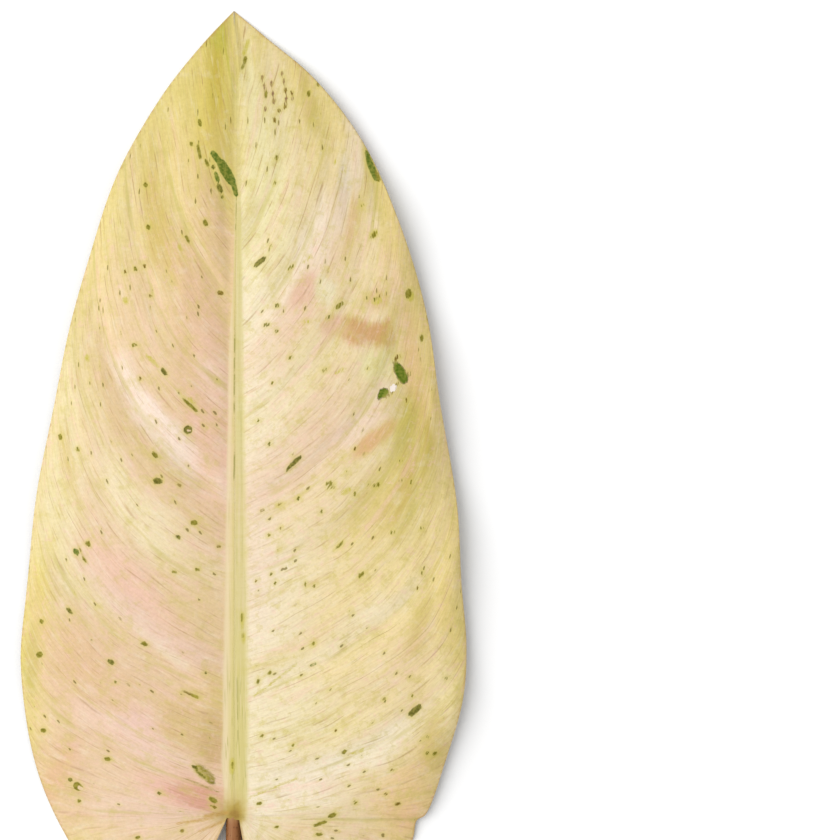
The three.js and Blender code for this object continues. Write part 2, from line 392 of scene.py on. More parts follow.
@dataclass
class Blade:
    """The blade with its midrib, thin and with a rounded edge, as one closed mesh."""

    plan: LeafPlan
    relief: LeafRelief
    rows: int = 430
    upper_columns: int = 70
    lower_columns: int = 26
    midrib_columns: int = 10
    edge_step: int = 6
    lobe_edge_from: float = 0.12
    lobe_edge_points: int = 24
    batches: int = 60
    row_crowding: float = 1.15
    column_crowding: float = 0.35
    solid_thickness: float = 0.85
    thickness: float = 0.45
    rim_thickness: float = 0.24
    rim_reach: float = 2.2
    rim_bulge: float = 0.09
    clearance: float = 0.02
    crown: float = 0.1925
    crown_ends_at: float = 150
    crown_fades_over: float = 30
    crown_width: float = 0.8
    rib_depth: float = 2.9
    rib_fade_power: float = 0.8
    ripple: float = 0.13
    ripple_broad: tuple[float, float] = (9, 4)
    ripple_fine: tuple[float, float] = (4, 2.1)
    ripple_starts_over: float = 5
    head_dip: float = 0.42
    head_dip_across: float = 3.2
    head_dip_along: float = 2.6
    tip_over: float = 0.1
    tip_under: float = 0.2

    def shares(self) -> Array:
        """Shares of the margin at which the rows end, without the tip."""
        return 1 - (1 - np.arange(self.rows) / self.rows) ** self.row_crowding

    def _half(self, side: Side, columns: int) -> dict[str, Array]:
        """Grid of one half, with its columns from the midrib to the margin."""
        share = self.shares()[:, None]
        even = np.linspace(0, 1, columns + 1)[None, :]
        t = lerp(even, (1 - np.cos(math.pi * even)) / 2, self.column_crowding)
        x, y = self.plan.points(side, share, t)
        z = self.relief.height(side, share, t, y)
        along = np.zeros_like(x)
        along[:, 1:] = np.cumsum(np.hypot(np.diff(x, axis=1), np.diff(y, axis=1)), axis=1)
        order = np.broadcast_to(self.vein_order(side)[:, None], x.shape)
        return {"x": x, "y": y, "z": z, "along": along, "order": order}

    def vein_order(self, side: Side) -> Array:
        """Distance across the side veins up to each row, measured halfway along them."""
        share = self.shares()[:, None]
        x, y = self.plan.points(side, share, np.array([[0.45, 0.55]]))
        way = np.stack([x[:, 1] - x[:, 0], y[:, 1] - y[:, 0]], axis=1)
        way /= np.linalg.norm(way, axis=1, keepdims=True)
        step = np.diff(np.stack([x.mean(1), y.mean(1)], axis=1), axis=0)
        gap = np.abs(step[:, 0] * way[1:, 1] - step[:, 1] * way[1:, 0])
        return np.concatenate([[0], np.cumsum(gap)])

    def sheet(self, columns: int) -> BladeSheet:
        """The grid of the whole blade, margin to margin.

        Args:
            columns: Steps in each half.

        Returns:
            The grid, with the midrib's own steps between the halves.
        """
        left, right = self._half(Side.LEFT, columns), self._half(Side.RIGHT, columns)
        f = np.linspace(0, 1, self.midrib_columns + 1)[1:-1][None, :]
        strip = {k: lerp(left[k][:, :1], right[k][:, :1], f) for k in ("x", "y", "z")}
        whole = {k: np.hstack([left[k][:, ::-1], strip[k], right[k]]) for k in strip}
        zero = np.zeros_like(left["x"])
        half_width = self.plan.midrib_half_width(self.plan.root_along(self.shares()))[:, None]
        beyond_left = -1 - left["along"] / half_width
        beyond_right = 1 + right["along"] / half_width
        inner = np.broadcast_to(np.zeros_like(f), strip["x"].shape)
        on_left = np.broadcast_to(f < 0.5, inner.shape)
        order = np.where(on_left, left["order"][:, :1], right["order"][:, :1])
        side = np.where(on_left, -1.0, 1.0)
        return BladeSheet(
            **whole,
            rib=np.hstack([zero, np.broadcast_to(np.sqrt(1 - (2 * f - 1) ** 2), inner.shape), zero]),
            across=np.hstack(
                [beyond_left[:, ::-1], np.broadcast_to(2 * f - 1, inner.shape), beyond_right]
            ),
            along=np.hstack([left["along"][:, ::-1], inner, right["along"]]),
            order=np.hstack([left["order"][:, ::-1], order, right["order"]]),
            side=np.hstack([zero - 1, side, zero + 1]),
        )

    def margin_distance(self, x: Array, y: Array) -> Array:
        """Distance from each point to the nearest margin or lobe edge."""
        edge = [self.plan.margins[side].points[:: self.edge_step] for side in Side]
        for side in Side:
            t = np.linspace(self.lobe_edge_from, 1, self.lobe_edge_points)[None, :]
            edge.append(np.stack(self.plan.points(side, np.zeros((1, 1)), t), axis=-1)[0])
        line = np.vstack(edge).astype(np.float32)
        flat = np.stack([x.ravel(), y.ravel()], axis=1).astype(np.float32)
        nearest = [
            np.sqrt(((part[:, None] - line[None]) ** 2).sum(2).min(1))
            for part in np.array_split(flat, self.batches)
        ]
        return np.concatenate(nearest).reshape(x.shape)

    def skins(self, sheet: BladeSheet) -> tuple[Array, Array]:
        """Heights of the upper and the lower skin over a grid.

        Args:
            sheet: The grid.

        Returns:
            The upper heights and the lower heights.
        """
        half = self.solid_thickness / 2
        fade = (1 - np.clip(sheet.y / self.plan.length, 0, 1)) ** self.rib_fade_power
        middle = np.maximum(sheet.z, half + self.clearance)
        bottom = middle - half
        to_edge = self.margin_distance(sheet.x, sheet.y)
        inner = smoothstep(to_edge, 0, self.rim_reach)
        (long, wide), (short, narrow) = self.ripple_broad, self.ripple_fine
        swell = value_noise(sheet.along / long + 40, sheet.order / wide + 60 * sheet.side, 11)
        fine = value_noise(sheet.along / short, sheet.order / narrow + 90 * sheet.side, 12)
        swell = swell + 0.5 * fine
        off_rib = smoothstep(sheet.along, 0, self.ripple_starts_over)
        ripple = self.ripple * swell * off_rib * inner
        bottom = bottom + np.maximum(ripple, -0.5 * (bottom - self.clearance))
        top = bottom + lerp(self.rim_thickness, self.thickness, inner)
        top = top + self._midrib_rise(sheet) * fade - self.hollow(sheet.x, sheet.y)
        rib = self.rib_depth * sheet.rib * fade
        return top, np.maximum(bottom - rib, self.clearance)

    def hollow(self, x: Array, y: Array) -> Array:
        """Depth of the soft hollow round the head of the stalk."""
        across, along = x - float(self.plan.midrib_drift(0)), y - self.plan.head_at
        spread = (across / self.head_dip_across) ** 2 + (along / self.head_dip_along) ** 2
        return self.head_dip * np.exp(-spread)

    def _midrib_rise(self, sheet: BladeSheet) -> Array:
        """Rise of the midrib over the upper skin: a low soft band that ends short of the tip."""
        band = np.exp(-((np.abs(sheet.across) / self.crown_width) ** 3))
        return self.crown * band * smoothstep(self.crown_ends_at - sheet.y, 0, self.crown_fades_over)

    def mesh(self, shift: Vector) -> tuple[bpy.types.Object, BladeSheet]:
        """Builds the closed blade.

        Args:
            shift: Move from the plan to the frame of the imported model, in millimetres.

        Returns:
            The object, and the grid of its upper skin, whose points are its first vertices.
        """
        upper, lower = self.sheet(self.upper_columns), self.sheet(self.lower_columns)
        top, _ = self.skins(upper)
        _, bottom = self.skins(lower)
        vertices = [
            np.stack([upper.x, upper.y, top], axis=-1).reshape(-1, 3),
            np.stack([lower.x, lower.y, bottom], axis=-1).reshape(-1, 3),
        ]
        wide, narrow = upper.x.shape[1], lower.x.shape[1]
        under = self.rows * wide
        rims = under + self.rows * narrow
        bulge = self._bulge(upper, top, bottom)
        tip_x, tip_y = self.plan.left_margin[-1]
        tip_z = self.relief.spine.value[-1]
        tips = [[tip_x, tip_y, tip_z + self.tip_over], [tip_x, tip_y, tip_z - self.tip_under]]
        vertices += [bulge.reshape(-1, 3), np.array(tips)]
        tip_top = rims + 2 * self.rows
        tip_under = tip_top + 1

        at = np.arange(under).reshape(self.rows, wide)
        beneath = under + np.arange(self.rows * narrow).reshape(self.rows, narrow)
        left_rim = rims + np.arange(self.rows)
        right_rim = left_rim + self.rows
        upper_faces = self._quads(at)
        upper_faces += self._quads(np.stack([left_rim, at[:, 0]], axis=1))
        upper_faces += self._quads(np.stack([at[:, -1], right_rim], axis=1))
        upper_faces += [[a, b, tip_top] for a, b in zip(at[-1, :-1], at[-1, 1:])]
        upper_faces += [[left_rim[-1], at[-1, 0], tip_top], [at[-1, -1], right_rim[-1], tip_top]]
        lower_faces = self._quads(beneath[:, ::-1])
        lower_faces += self._quads(np.stack([beneath[:, 0], left_rim], axis=1))
        lower_faces += self._quads(np.stack([right_rim, beneath[:, -1]], axis=1))
        lower_faces += [[b, a, tip_under] for a, b in zip(beneath[-1, :-1], beneath[-1, 1:])]
        lower_faces += [[beneath[-1, 0], left_rim[-1], tip_under]]
        lower_faces += [[right_rim[-1], beneath[-1, -1], tip_under]]
        lower_faces += [[left_rim[-1], tip_top, tip_under], [tip_top, right_rim[-1], tip_under]]
        edge_faces = self._zip(
            [left_rim[0], *at[0], right_rim[0]], [left_rim[0], *beneath[0], right_rim[0]],
            np.vstack(vertices),
        )
        faces = upper_faces + lower_faces + edge_faces
        obj = make_object("leaf_blade", (np.vstack(vertices) + np.array(shift)) * MM, faces)
        under_side = np.zeros(len(faces), np.int32)
        under_side[len(upper_faces) : len(upper_faces) + len(lower_faces)] = 1
        obj.data.polygons.foreach_set("material_index", under_side)
        return obj, upper

    def _bulge(self, upper: BladeSheet, top: Array, bottom: Array) -> Array:
        """The outermost line of the rounded edge, first on the left and then on the right."""
        lines = []
        for column, inner in ((0, 1), (-1, -2)):
            edge = np.stack([upper.x[:, column], upper.y[:, column]], axis=1)
            way = edge - np.stack([upper.x[:, inner], upper.y[:, inner]], axis=1)
            way /= np.maximum(np.linalg.norm(way, axis=1, keepdims=True), 1e-9)
            middle = (top[:, column] + bottom[:, column]) / 2
            lines.append(np.column_stack([edge + way * self.rim_bulge, middle]))
        return np.stack(lines)

    @staticmethod
    def _quads(grid: Array) -> list[list[int]]:
        """Faces between the points of a grid of vertex numbers, facing up where x rises by column."""
        a, b, c, d = grid[:-1, :-1], grid[:-1, 1:], grid[1:, 1:], grid[1:, :-1]
        return np.stack([a, b, c, d], axis=-1).reshape(-1, 4).tolist()

    @staticmethod
    def _zip(above: list[int], below: list[int], vertices: Array) -> list[list[int]]:
        """Triangles between two lines of vertices that share their first and last one."""

        def shares(line: list[int]) -> Array:
            """How far along a line of vertices each one lies, as a share of its length."""
            steps = np.linalg.norm(np.diff(vertices[line], axis=0)[:, :2], axis=1)
            way = np.concatenate([[0], np.cumsum(steps)])
            return way / way[-1]

        high, low = shares(above), shares(below)
        faces, i, j = [], 0, 0
        while i < len(above) - 1 or j < len(below) - 1:
            step_above = j == len(below) - 1 or (i < len(above) - 1 and high[i + 1] <= low[j + 1])
            if step_above:
                corner = [above[i + 1], above[i], below[j]]
                i += 1
            else:
                corner = [above[i], below[j], below[j + 1]]
                j += 1
            if len(set(corner)) == 3:
                faces.append(corner)
        return faces


def make_object(name: str, vertices: Array, faces: Sequence[Sequence[int]]) -> bpy.types.Object:
    """A smooth-shaded mesh object at the origin.

    Args:
        name: Name of the object.
        vertices: Its points, in metres in the frame.
        faces: Its faces, as lists of point numbers.

    Returns:
        The object, linked to the scene.
    """
    mesh = bpy.data.meshes.new(name)
    mesh.from_pydata(np.asarray(vertices, float).tolist(), [], [list(map(int, f)) for f in faces])
    mesh.validate()
    mesh.polygons.foreach_set("use_smooth", np.ones(len(mesh.polygons), bool))
    mesh.update()
    obj = bpy.data.objects.new(name, mesh)
    bpy.context.scene.collection.objects.link(obj)
    return obj


# The painting of the blade


class Ink(Enum):
    """Colours of the flecks, as they look in daylight."""

    GREEN = (80, 106, 0)
    DEEP = (98, 95, 6)
    OLIVE = (124, 116, 8)
    BROWN = (122, 96, 30)
    MAUVE = (146, 112, 84)
    MOSS = (150, 138, 46)
    LIME = (204, 192, 84)
    SAGE = (88, 112, 30)
    TAN = (204, 164, 92)
    SKIN = (234, 206, 164)
    WHITE = (252, 240, 228)


@dataclass(frozen=True)
class Wash:
    """A broad soft patch of colour.

    Attributes:
        x: Place of its middle, across.
        y: Place of its middle, along the midrib.
        along: Half its length along the side veins.
        across: Half its width across them.
        colour: Its colour, as it looks.
        strength: How much of what lies under it it hides.
        edge: How sharply it ends, 2 for soft and 8 for crisp.
        turn: Its direction in degrees from across, or None to lie along the side veins.
    """

    x: float
    y: float
    along: float
    across: float
    colour: Colour
    strength: float
    edge: float = 2.5
    turn: float | None = None


@dataclass(frozen=True)
class Fleck:
    """A small mark of one colour.

    Attributes:
        ink: Its colour.
        x: Place of its middle, across.
        y: Place of its middle, along the midrib.
        length: Its length.
        width: Its width.
        turn: Its direction in degrees from across, or None to lie along the side vein.
    """

    ink: Ink
    x: float
    y: float
    length: float
    width: float
    turn: float | None = None


def flecks_by_ink(rows: Mapping[Ink, Sequence[Numbers]]) -> list[Fleck]:
    """The flecks of a table whose rows hold the other fields of each, in their order."""
    return [Fleck(ink, *row) for ink, group in rows.items() for row in group]


@dataclass(frozen=True)
class Ground:
    """The first colours of one half: beside the midrib, halfway and along the margin."""

    inner: Colour
    middle: Colour
    margin: Colour


GROUNDS = {
    Side.LEFT: Ground((240, 206, 168), (238, 209, 171), (235, 215, 150)),
    Side.RIGHT: Ground((245, 231, 200), (238, 217, 170), (233, 210, 140)),
}

# Rows hold a wash's fields in their order, and a later wash lies over the earlier ones
WASHES = [Wash(*row) for row in (
    # Left half
    (-8, 172, 16, 16, (219, 199, 104), 0.9, 3), (-16, 155, 22, 15, (232, 214, 136), 0.85, 3),
    (-5.5, 164, 13, 6, (228, 206, 112), 0.6), (-4, 154, 8, 6, (196, 180, 70), 0.7),
    (-12, 143, 13, 6, (236, 211, 152), 0.6), (-29, 138, 12, 9, (236, 218, 142), 0.7),
    (-18.5, 140, 15, 3.2, (214, 188, 102), 0.75), (-10, 134.5, 14, 2.6, (242, 225, 166), 0.75),
    (-5, 137, 8, 7, (230, 198, 154), 0.6), (-9, 127, 13, 4, (233, 196, 150), 0.7),
    (-31, 118, 8, 16, (239, 220, 156), 0.7), (-25, 108, 20, 12, (238, 208, 168), 0.7),
    (-8, 111, 11, 14, (234, 197, 160), 0.7), (-5, 96, 8, 10, (240, 200, 168), 0.7),
    # The pale band at (-17, 89.6) is partly pale pink colour and partly painted light on the lit wall of
    # the fold along a main side vein; the darker tan at (-26, 92) beside it is partly painted shade on the
    # fold's slope that turns from the light.
    (-17, 89.6, 25, 3.3, (252, 232, 216), 0.9, 4), (-26, 92, 20, 4, (226, 196, 146), 0.65),
    (-5.5, 84, 6, 7, (241, 197, 172), 0.7), (-43, 86, 7, 12, (238, 220, 170), 0.6),
    (-41, 77, 11, 13, (242, 228, 182), 0.85), (-20, 69, 20, 5, (247, 232, 190), 0.8),
    (-8, 66, 7, 8, (234, 203, 165), 0.5), (-27.5, 57, 12, 5, (241, 208, 178), 0.7, 4),
    (-36, 53.5, 8, 4, (236, 221, 176), 0.8, 3, -52), (-20, 50.5, 19, 4.6, (243, 202, 178), 0.9, 6, -44),
    (-21.5, 44.3, 13, 1.4, (247, 228, 196), 0.8, 4, -42), (-37, 38, 7, 4, (226, 190, 140), 0.6),
    (-17, 43, 22, 2.4, (242, 208, 188), 0.75, 3), (-10, 50, 9, 6, (229, 204, 152), 0.6),
    (-48, 42, 6, 17, (229, 214, 118), 0.8), (-34, 31, 20, 11, (232, 195, 156), 0.7),
    (-22.5, 21, 8, 4, (246, 208, 194), 0.85, 4, -42), (-4, 29, 4, 6, (220, 198, 122), 0.55),
    (-10.6, 21.6, 8.4, 6.2, (226, 196, 142), 0.85, 3, -35), (-23, 18, 20, 3, (246, 214, 192), 0.7),
    (-42, 10, 8, 8, (230, 192, 160), 0.6), (-12, 5.6, 9, 4.6, (248, 196, 184), 0.8, 2),
    (-7.5, 4.5, 6.5, 4.6, (222, 166, 140), 0.9), (-20, 1, 12, 6, (246, 212, 194), 0.6),
    (-30, -8, 12, 7, (238, 209, 162), 0.5), (-2.2, 122, 14, 1.5, (232, 204, 154), 0.6, 3, 90),
    (-39.7, 84.3, 6, 3, (224, 198, 138), 0.7), (-4.4, 172, 10, 2.2, (198, 178, 76), 0.85, 3, 88),
    (-1, 166, 18, 1.7, (220, 203, 118), 0.7, 3, 90), (-2, 184, 5, 5, (192, 184, 74), 0.85, 3, 90),
    # Right half
    (2, 182, 8, 4, (210, 198, 108), 0.8, 3, 90), (1.8, 152, 12, 1.6, (242, 228, 190), 0.6, 3, 88),
    (3, 163, 7, 3, (214, 198, 98), 0.7, 3, 80), (5, 174, 14, 10, (230, 205, 142), 0.7),
    (9.5, 169, 13, 3.4, (221, 201, 162), 0.65), (20, 163, 14, 8, (236, 216, 152), 0.6),
    (17.2, 168.7, 5, 4, (200, 182, 102), 0.85), (31.5, 150, 5, 5, (186, 174, 84), 0.85, 3),
    (7, 148, 15, 11, (240, 230, 176), 0.85), (31, 152, 9, 9, (234, 213, 144), 0.4),
    # The greyish pale streak at (25, 146) is a painted sheen: the soft reflection of the light on the
    # satin blade.
    (25, 146, 8, 2.2, (222, 213, 198), 0.7), (27, 139, 6, 2.4, (219, 181, 126), 0.7),
    (22.5, 136, 10, 4.2, (236, 203, 168), 0.6), (16, 127, 16, 4.4, (252, 236, 214), 0.75),
    (14, 120, 14, 4, (236, 200, 166), 0.6), (16, 123.5, 5, 2.4, (231, 188, 158), 0.75, 4, 62),
    (20.9, 124.2, 3.2, 2.2, (241, 230, 192), 0.85, 6, 100),
    (33.5, 107, 4.5, 3.4, (234, 226, 170), 0.8, 4, 10),
    (29.4, 114.4, 9.8, 3.2, (210, 166, 110), 1, 8, -8),
    (23.6, 115.6, 3.4, 2.4, (226, 188, 148), 0.8, 6, 0), (35, 100, 5, 3, (240, 218, 192), 0.7, 3, 20),
    (30.5, 93.4, 10.5, 2.8, (243, 216, 194), 0.9, 4, 33), (42, 106, 7, 12, (226, 198, 128), 0.6),
    (33, 89.6, 5.6, 1.8, (222, 170, 116), 0.85, 4, 33), (13, 101, 14, 4, (241, 226, 178), 0.5),
    (13, 82, 17, 7, (238, 206, 177), 0.75), (15, 71, 18, 4.5, (240, 220, 174), 0.6),
    (41, 85, 9, 10, (182, 171, 52), 0.8, 3), (44.9, 84.3, 4, 6, (182, 164, 44), 0.85, 3),
    (38.5, 76.5, 9, 3.4, (196, 170, 72), 0.8, 3), (38.3, 121.8, 4, 4, (244, 212, 170), 0.8),
    (42, 104, 5, 7, (238, 198, 148), 0.6), (46.4, 103, 3, 4, (204, 180, 112), 0.6),
    # The near-white streaks at (26.8, 21.1), (24.5, 43) and (26, 14) are painted light: pale highlights on
    # the lit walls of the folds along the main side veins, which also lift the shade of those slopes.
    (26.8, 21.1, 8, 3, (250, 232, 180), 0.75, 3), (31, 73, 10, 4, (214, 192, 112), 0.6),
    (38, 51, 22, 16, (249, 227, 164), 0.75), (5, 60, 5, 11, (244, 221, 198), 0.7),
    (24.5, 43, 20, 3.2, (250, 234, 198), 0.75, 3, 34), (15, 40, 17, 2.4, (234, 214, 158), 0.65),
    (50, 44, 5, 14, (242, 217, 138), 0.75), (35, 36, 12, 6, (238, 212, 168), 0.5),
    (14, 24, 16, 8, (242, 228, 184), 0.6), (47, 24, 7, 10, (242, 214, 158), 0.7),
    (26, 14, 18, 3.6, (252, 240, 214), 0.75), (14, 5, 14, 7, (246, 231, 204), 0.8),
    (39, 3, 8, 6, (242, 206, 150), 0.8), (48, 27, 4, 10, (252, 234, 178), 0.7),
    (24, -8, 14, 8, (241, 216, 172), 0.5),
    # Small patches of both halves, over the others
    (-43.5, 8, 12, 3, (230, 188, 146), 0.7, 3, 62), (-48, 37.5, 9, 1.6, (204, 184, 108), 0.6, 3, 88),
    (-4.8, 103, 5, 3, (246, 212, 190), 0.9), (-4.6, 92, 12, 3, (240, 202, 170), 0.5, 3, 88),
    (-5, 18, 6, 3, (206, 172, 116), 0.6, 3, 88), (33.2, 121.8, 3, 2, (208, 172, 108), 0.6, 3, 10),
    (43, 46, 4, 4, (214, 190, 112), 0.6), (47.6, 18, 4, 5, (214, 190, 108), 0.6),
    (3.4, 140, 6, 2, (222, 206, 150), 0.6, 3, 80), (27.6, 159.3, 6, 3, (246, 226, 192), 0.75),
    (29, 150, 5, 2, (236, 216, 188), 0.7), (32, 141, 4, 3, (242, 222, 184), 0.7),
    (52.4, 42, 10, 1.6, (240, 220, 140), 0.6, 3, 90), (41.4, 0.8, 3, 2.4, (246, 202, 156), 0.6, 3, 0),
)]

FLECKS = flecks_by_ink({
    Ink.GREEN: (
        (-4.4, 155, 4.6, 1.3, -54), (-2.2, 151.8, 7, 2.2, -60), (-0.2, 147.8, 3.6, 1, -76),
        (-4.4, 150.7, 2.6, 0.8, -72), (-37.4, 62.8, 1.9, 1.2), (32, 152.6, 6.4, 1.4, -68),
        (30.8, 156.2, 1.8, 0.8, -60), (18.3, 36.4, 1.9, 0.4, 20),
    ),
    Ink.DEEP: (
        (-5.3, 153, 1.2, 0.7, -60), (-3.7, 148, 2.4, 1, -62), (-3.2, 146, 0.8, 0.7, -60),
        (-16.8, 105, 2.3, 0.9), (-11.2, 91.4, 2.3, 1.9), (-18.3, 79.4, 2.6, 1.3, -4),
        (-13.5, 66.3, 1.5, 0.8), (-39, 49, 2.1, 0.7), (-29.2, 37, 1.9, 1.1), (-28, 32.3, 0.9, 0.8),
        (-7.2, 34.4, 0.8, 0.7), (-38.8, 9.4, 1.2, 0.8, -40), (-9.6, 12.3, 1.7, 0.7, -38),
        (-8.1, 10.5, 2.6, 0.45, -36), (-17.9, 6.2, 1.2, 0.7), (5.7, 130.8, 3.9, 1, 40),
        (21.8, 117.9, 1.8, 0.6, 45), (9.7, 120.5, 1.3, 1, 40), (7.2, 116, 1.7, 0.8, 12),
        (30.5, 122.3, 1, 0.9), (32.7, 122, 1.4, 0.9, 35), (7.8, 88.1, 1, 0.9),
        (13.9, 83.9, 4.4, 0.8, 42), (12.3, 82, 1.2, 0.8, 8), (38.7, 84.2, 0.9, 0.8),
        (14.7, 75.3, 1, 1), (20.1, 72.2, 1.2, 0.7, 28), (42, 25.6, 4.1, 1.3, 42),
        (34.9, 27.9, 0.9, 0.8), (49.3, 33.2, 0.8, 0.7),
    ),
    Ink.OLIVE: (
        (-8.6, 156.6, 3.6, 0.6, -78), (-6.8, 154, 2.2, 0.6, -65), (-10.4, 158.4, 1.1, 0.7),
        (-8.4, 163.4, 1.9, 0.7), (-21.1, 148.8, 1.3, 0.9), (-20.5, 138.9, 1.4, 1),
        (-7.1, 139.9, 1.8, 0.9), (-11.3, 136.1, 2.2, 0.6), (-23.5, 129.1, 1.2, 0.9),
        (-23.8, 111.3, 1.4, 0.8, 10), (-10.7, 97.2, 5, 0.6), (-18.9, 85.5, 2.2, 0.8),
        (-41.1, 89.7, 1.6, 0.8), (-37, 86.8, 1.2, 0.8), (-9.7, 69.6, 1.9, 1.1, 0),
        (-9, 58.6, 1.2, 0.8), (-14.4, 58.1, 1.3, 0.8), (-34.6, 64.7, 1.6, 1.1),
        (-35.5, 61, 1.6, 0.5), (-45.5, 46.5, 1.2, 0.9), (-46, 38.7, 1.8, 1.2, 30),
        (-21.4, 41.2, 2, 1, -8), (1.5, 47.4, 2, 0.35, 89), (1.7, 43.2, 1.4, 0.3, 86),
        (-0.8, 12.8, 1.6, 0.35, 88), (-45.1, 20.9, 1.5, 0.9, 8), (-30.1, 14.2, 1.7, 0.8, 0),
        (-37, 7.8, 2.6, 1.6, -35), (-36.7, 4.4, 1, 0.8), (-5.3, 4.6, 2.4, 1, -35),
        (-23, -4.2, 1.2, 0.6), (2.2, 178.2, 1.9, 0.7, 75), (1.6, 176.4, 1.6, 0.6, 60),
        (7.1, 170, 2, 0.6), (17.1, 170.2, 1.8, 0.7), (19.3, 172.4, 1.3, 0.6),
        (9.6, 155.2, 1.4, 0.8, 80), (9.2, 149.3, 1, 0.9), (33, 151, 3.4, 1.1, -62),
        (29.7, 144, 0.9, 0.8), (32.4, 137.1, 2.3, 0.9, 58), (8.3, 134.6, 0.8, 0.6),
        (12.9, 129.5, 2.1, 0.6, 35), (24.2, 120.5, 2.9, 0.9, 38), (9.6, 114.6, 1.2, 0.7, 55),
        (40.5, 123.3, 2.6, 1.4, 75), (43.6, 112.9, 1.9, 0.9, 80), (12.8, 108.3, 1.6, 0.7, 30),
        (21, 105.4, 1.9, 0.6, 25), (8.6, 102.4, 1, 0.7, 40), (5.2, 93.6, 0.8, 0.7),
        (26.4, 81.6, 0.9, 0.8), (22, 79, 2.4, 0.7, 18), (22.3, 77.9, 2, 0.5, 25),
        (33.6, 78.6, 1.3, 1, 65), (32.2, 78.2, 1.3, 0.7, 60), (38.7, 79.5, 1, 0.8),
        (41, 79.1, 1.1, 0.9), (27.8, 76.4, 1.3, 1, 0), (7.6, 66.7, 1, 0.6, 10),
        (10.2, 63.1, 0.9, 0.6), (24.3, 64.3, 2.9, 0.45, 45), (36.8, 67.4, 1.3, 1, 35),
        (43.6, 68.4, 1, 0.8), (43.7, 57.8, 1, 0.8), (29.4, 57.4, 2, 1, 68),
        (18.3, 54.8, 1.5, 0.7, 5), (16.3, 55.2, 1.6, 0.4, -70), (8.4, 57.6, 1, 0.7, 15),
        (9.3, 55.5, 0.9, 0.7, -20), (27, 49, 0.9, 0.7), (18, 41.3, 1.3, 0.9, 70),
        (7.9, 34.4, 1.5, 0.8, 25), (5.3, 32.5, 1.7, 0.5, 60), (41.2, 29, 1, 0.8),
        (25.4, 15.9, 1.8, 0.9, 22), (6.1, 19.6, 1.3, 0.6, 50), (13.3, 17.4, 1, 0.6, 35),
        (45, 19.4, 0.8, 0.7), (44.9, 15.6, 1, 0.8), (46.7, 15.5, 1.3, 0.8),
        (5.5, 3.8, 1.4, 0.7, 15), (22.6, 1, 2.2, 0.9, 22), (19.8, -0.9, 3.6, 0.6, 20),
        (28, 4, 1, 0.9), (19.6, -3.4, 1.7, 0.6, 0), (9.6, -1.7, 1.1, 0.5, 20),
    ),
    Ink.BROWN: (
        (-3.6, 123.5, 1.7, 0.9, -12), (-25.9, 128.4, 1, 0.8), (-21.4, 129.8, 1.2, 0.6),
        (-20, 122.8, 0.9, 0.8), (-22.4, 103.4, 1, 0.7), (-13.2, 78.5, 1.3, 0.6), (-4, 64, 1, 0.8),
        (-11.4, 29.8, 2.6, 0.4), (-4.9, 2.9, 1.2, 0.6, -25), (-12.6, -2.6, 1.1, 0.6),
        (11.7, 171, 1.4, 0.6), (11.6, 167.2, 1.4, 0.6), (13.1, 170.5, 1, 0.7),
        (10.1, 166.2, 1.2, 0.8), (9.1, 164, 1.7, 0.5, -80), (33.9, 122.8, 0.9, 0.7),
        (40, 98.4, 1.1, 0.9), (38.1, 108.6, 1.3, 0.9, 50), (27.9, 87, 1.1, 0.8, 20),
        (37.2, 107.9, 1.2, 0.8, -60), (37.4, 101.6, 2.8, 0.5, 55), (36, 99.6, 3.2, 0.45, 38),
        (40.6, 104.9, 1, 0.5, 10), (10.2, 74, 1.5, 0.5, 32), (6.2, 72.5, 1.3, 0.5, 22),
        (10.6, 68.3, 0.8, 0.7), (4.9, 56, 0.9, 0.6, 35), (42.6, 54.3, 0.9, 0.7),
        (23.3, 20.9, 0.8, 0.7), (36.6, 11.7, 1.2, 0.5, 5), (35.2, 6, 0.9, 0.6, 0),
        (38, 3.7, 1.6, 0.6, 5),
    ),
    Ink.MAUVE: (
        (6.2, 173.9, 1.4, 0.5), (6.7, 172, 1.2, 0.5), (6.9, 166.6, 1.6, 0.5),
        (8.4, 172.6, 1.5, 0.5), (8.7, 170.2, 1.3, 0.5), (8.9, 168.4, 1.6, 0.6),
        (10.9, 175, 1.2, 0.5), (11.3, 173.1, 1.3, 0.5), (11.8, 168.9, 1.5, 0.6),
        (13.3, 168.9, 1.1, 0.5),
    ),
    Ink.MOSS: (
        (-9.4, 28.9, 2.2, 0.6),
    ),
    Ink.LIME: (
        (16.6, 116.8, 1.8, 0.6, 0),
    ),
})

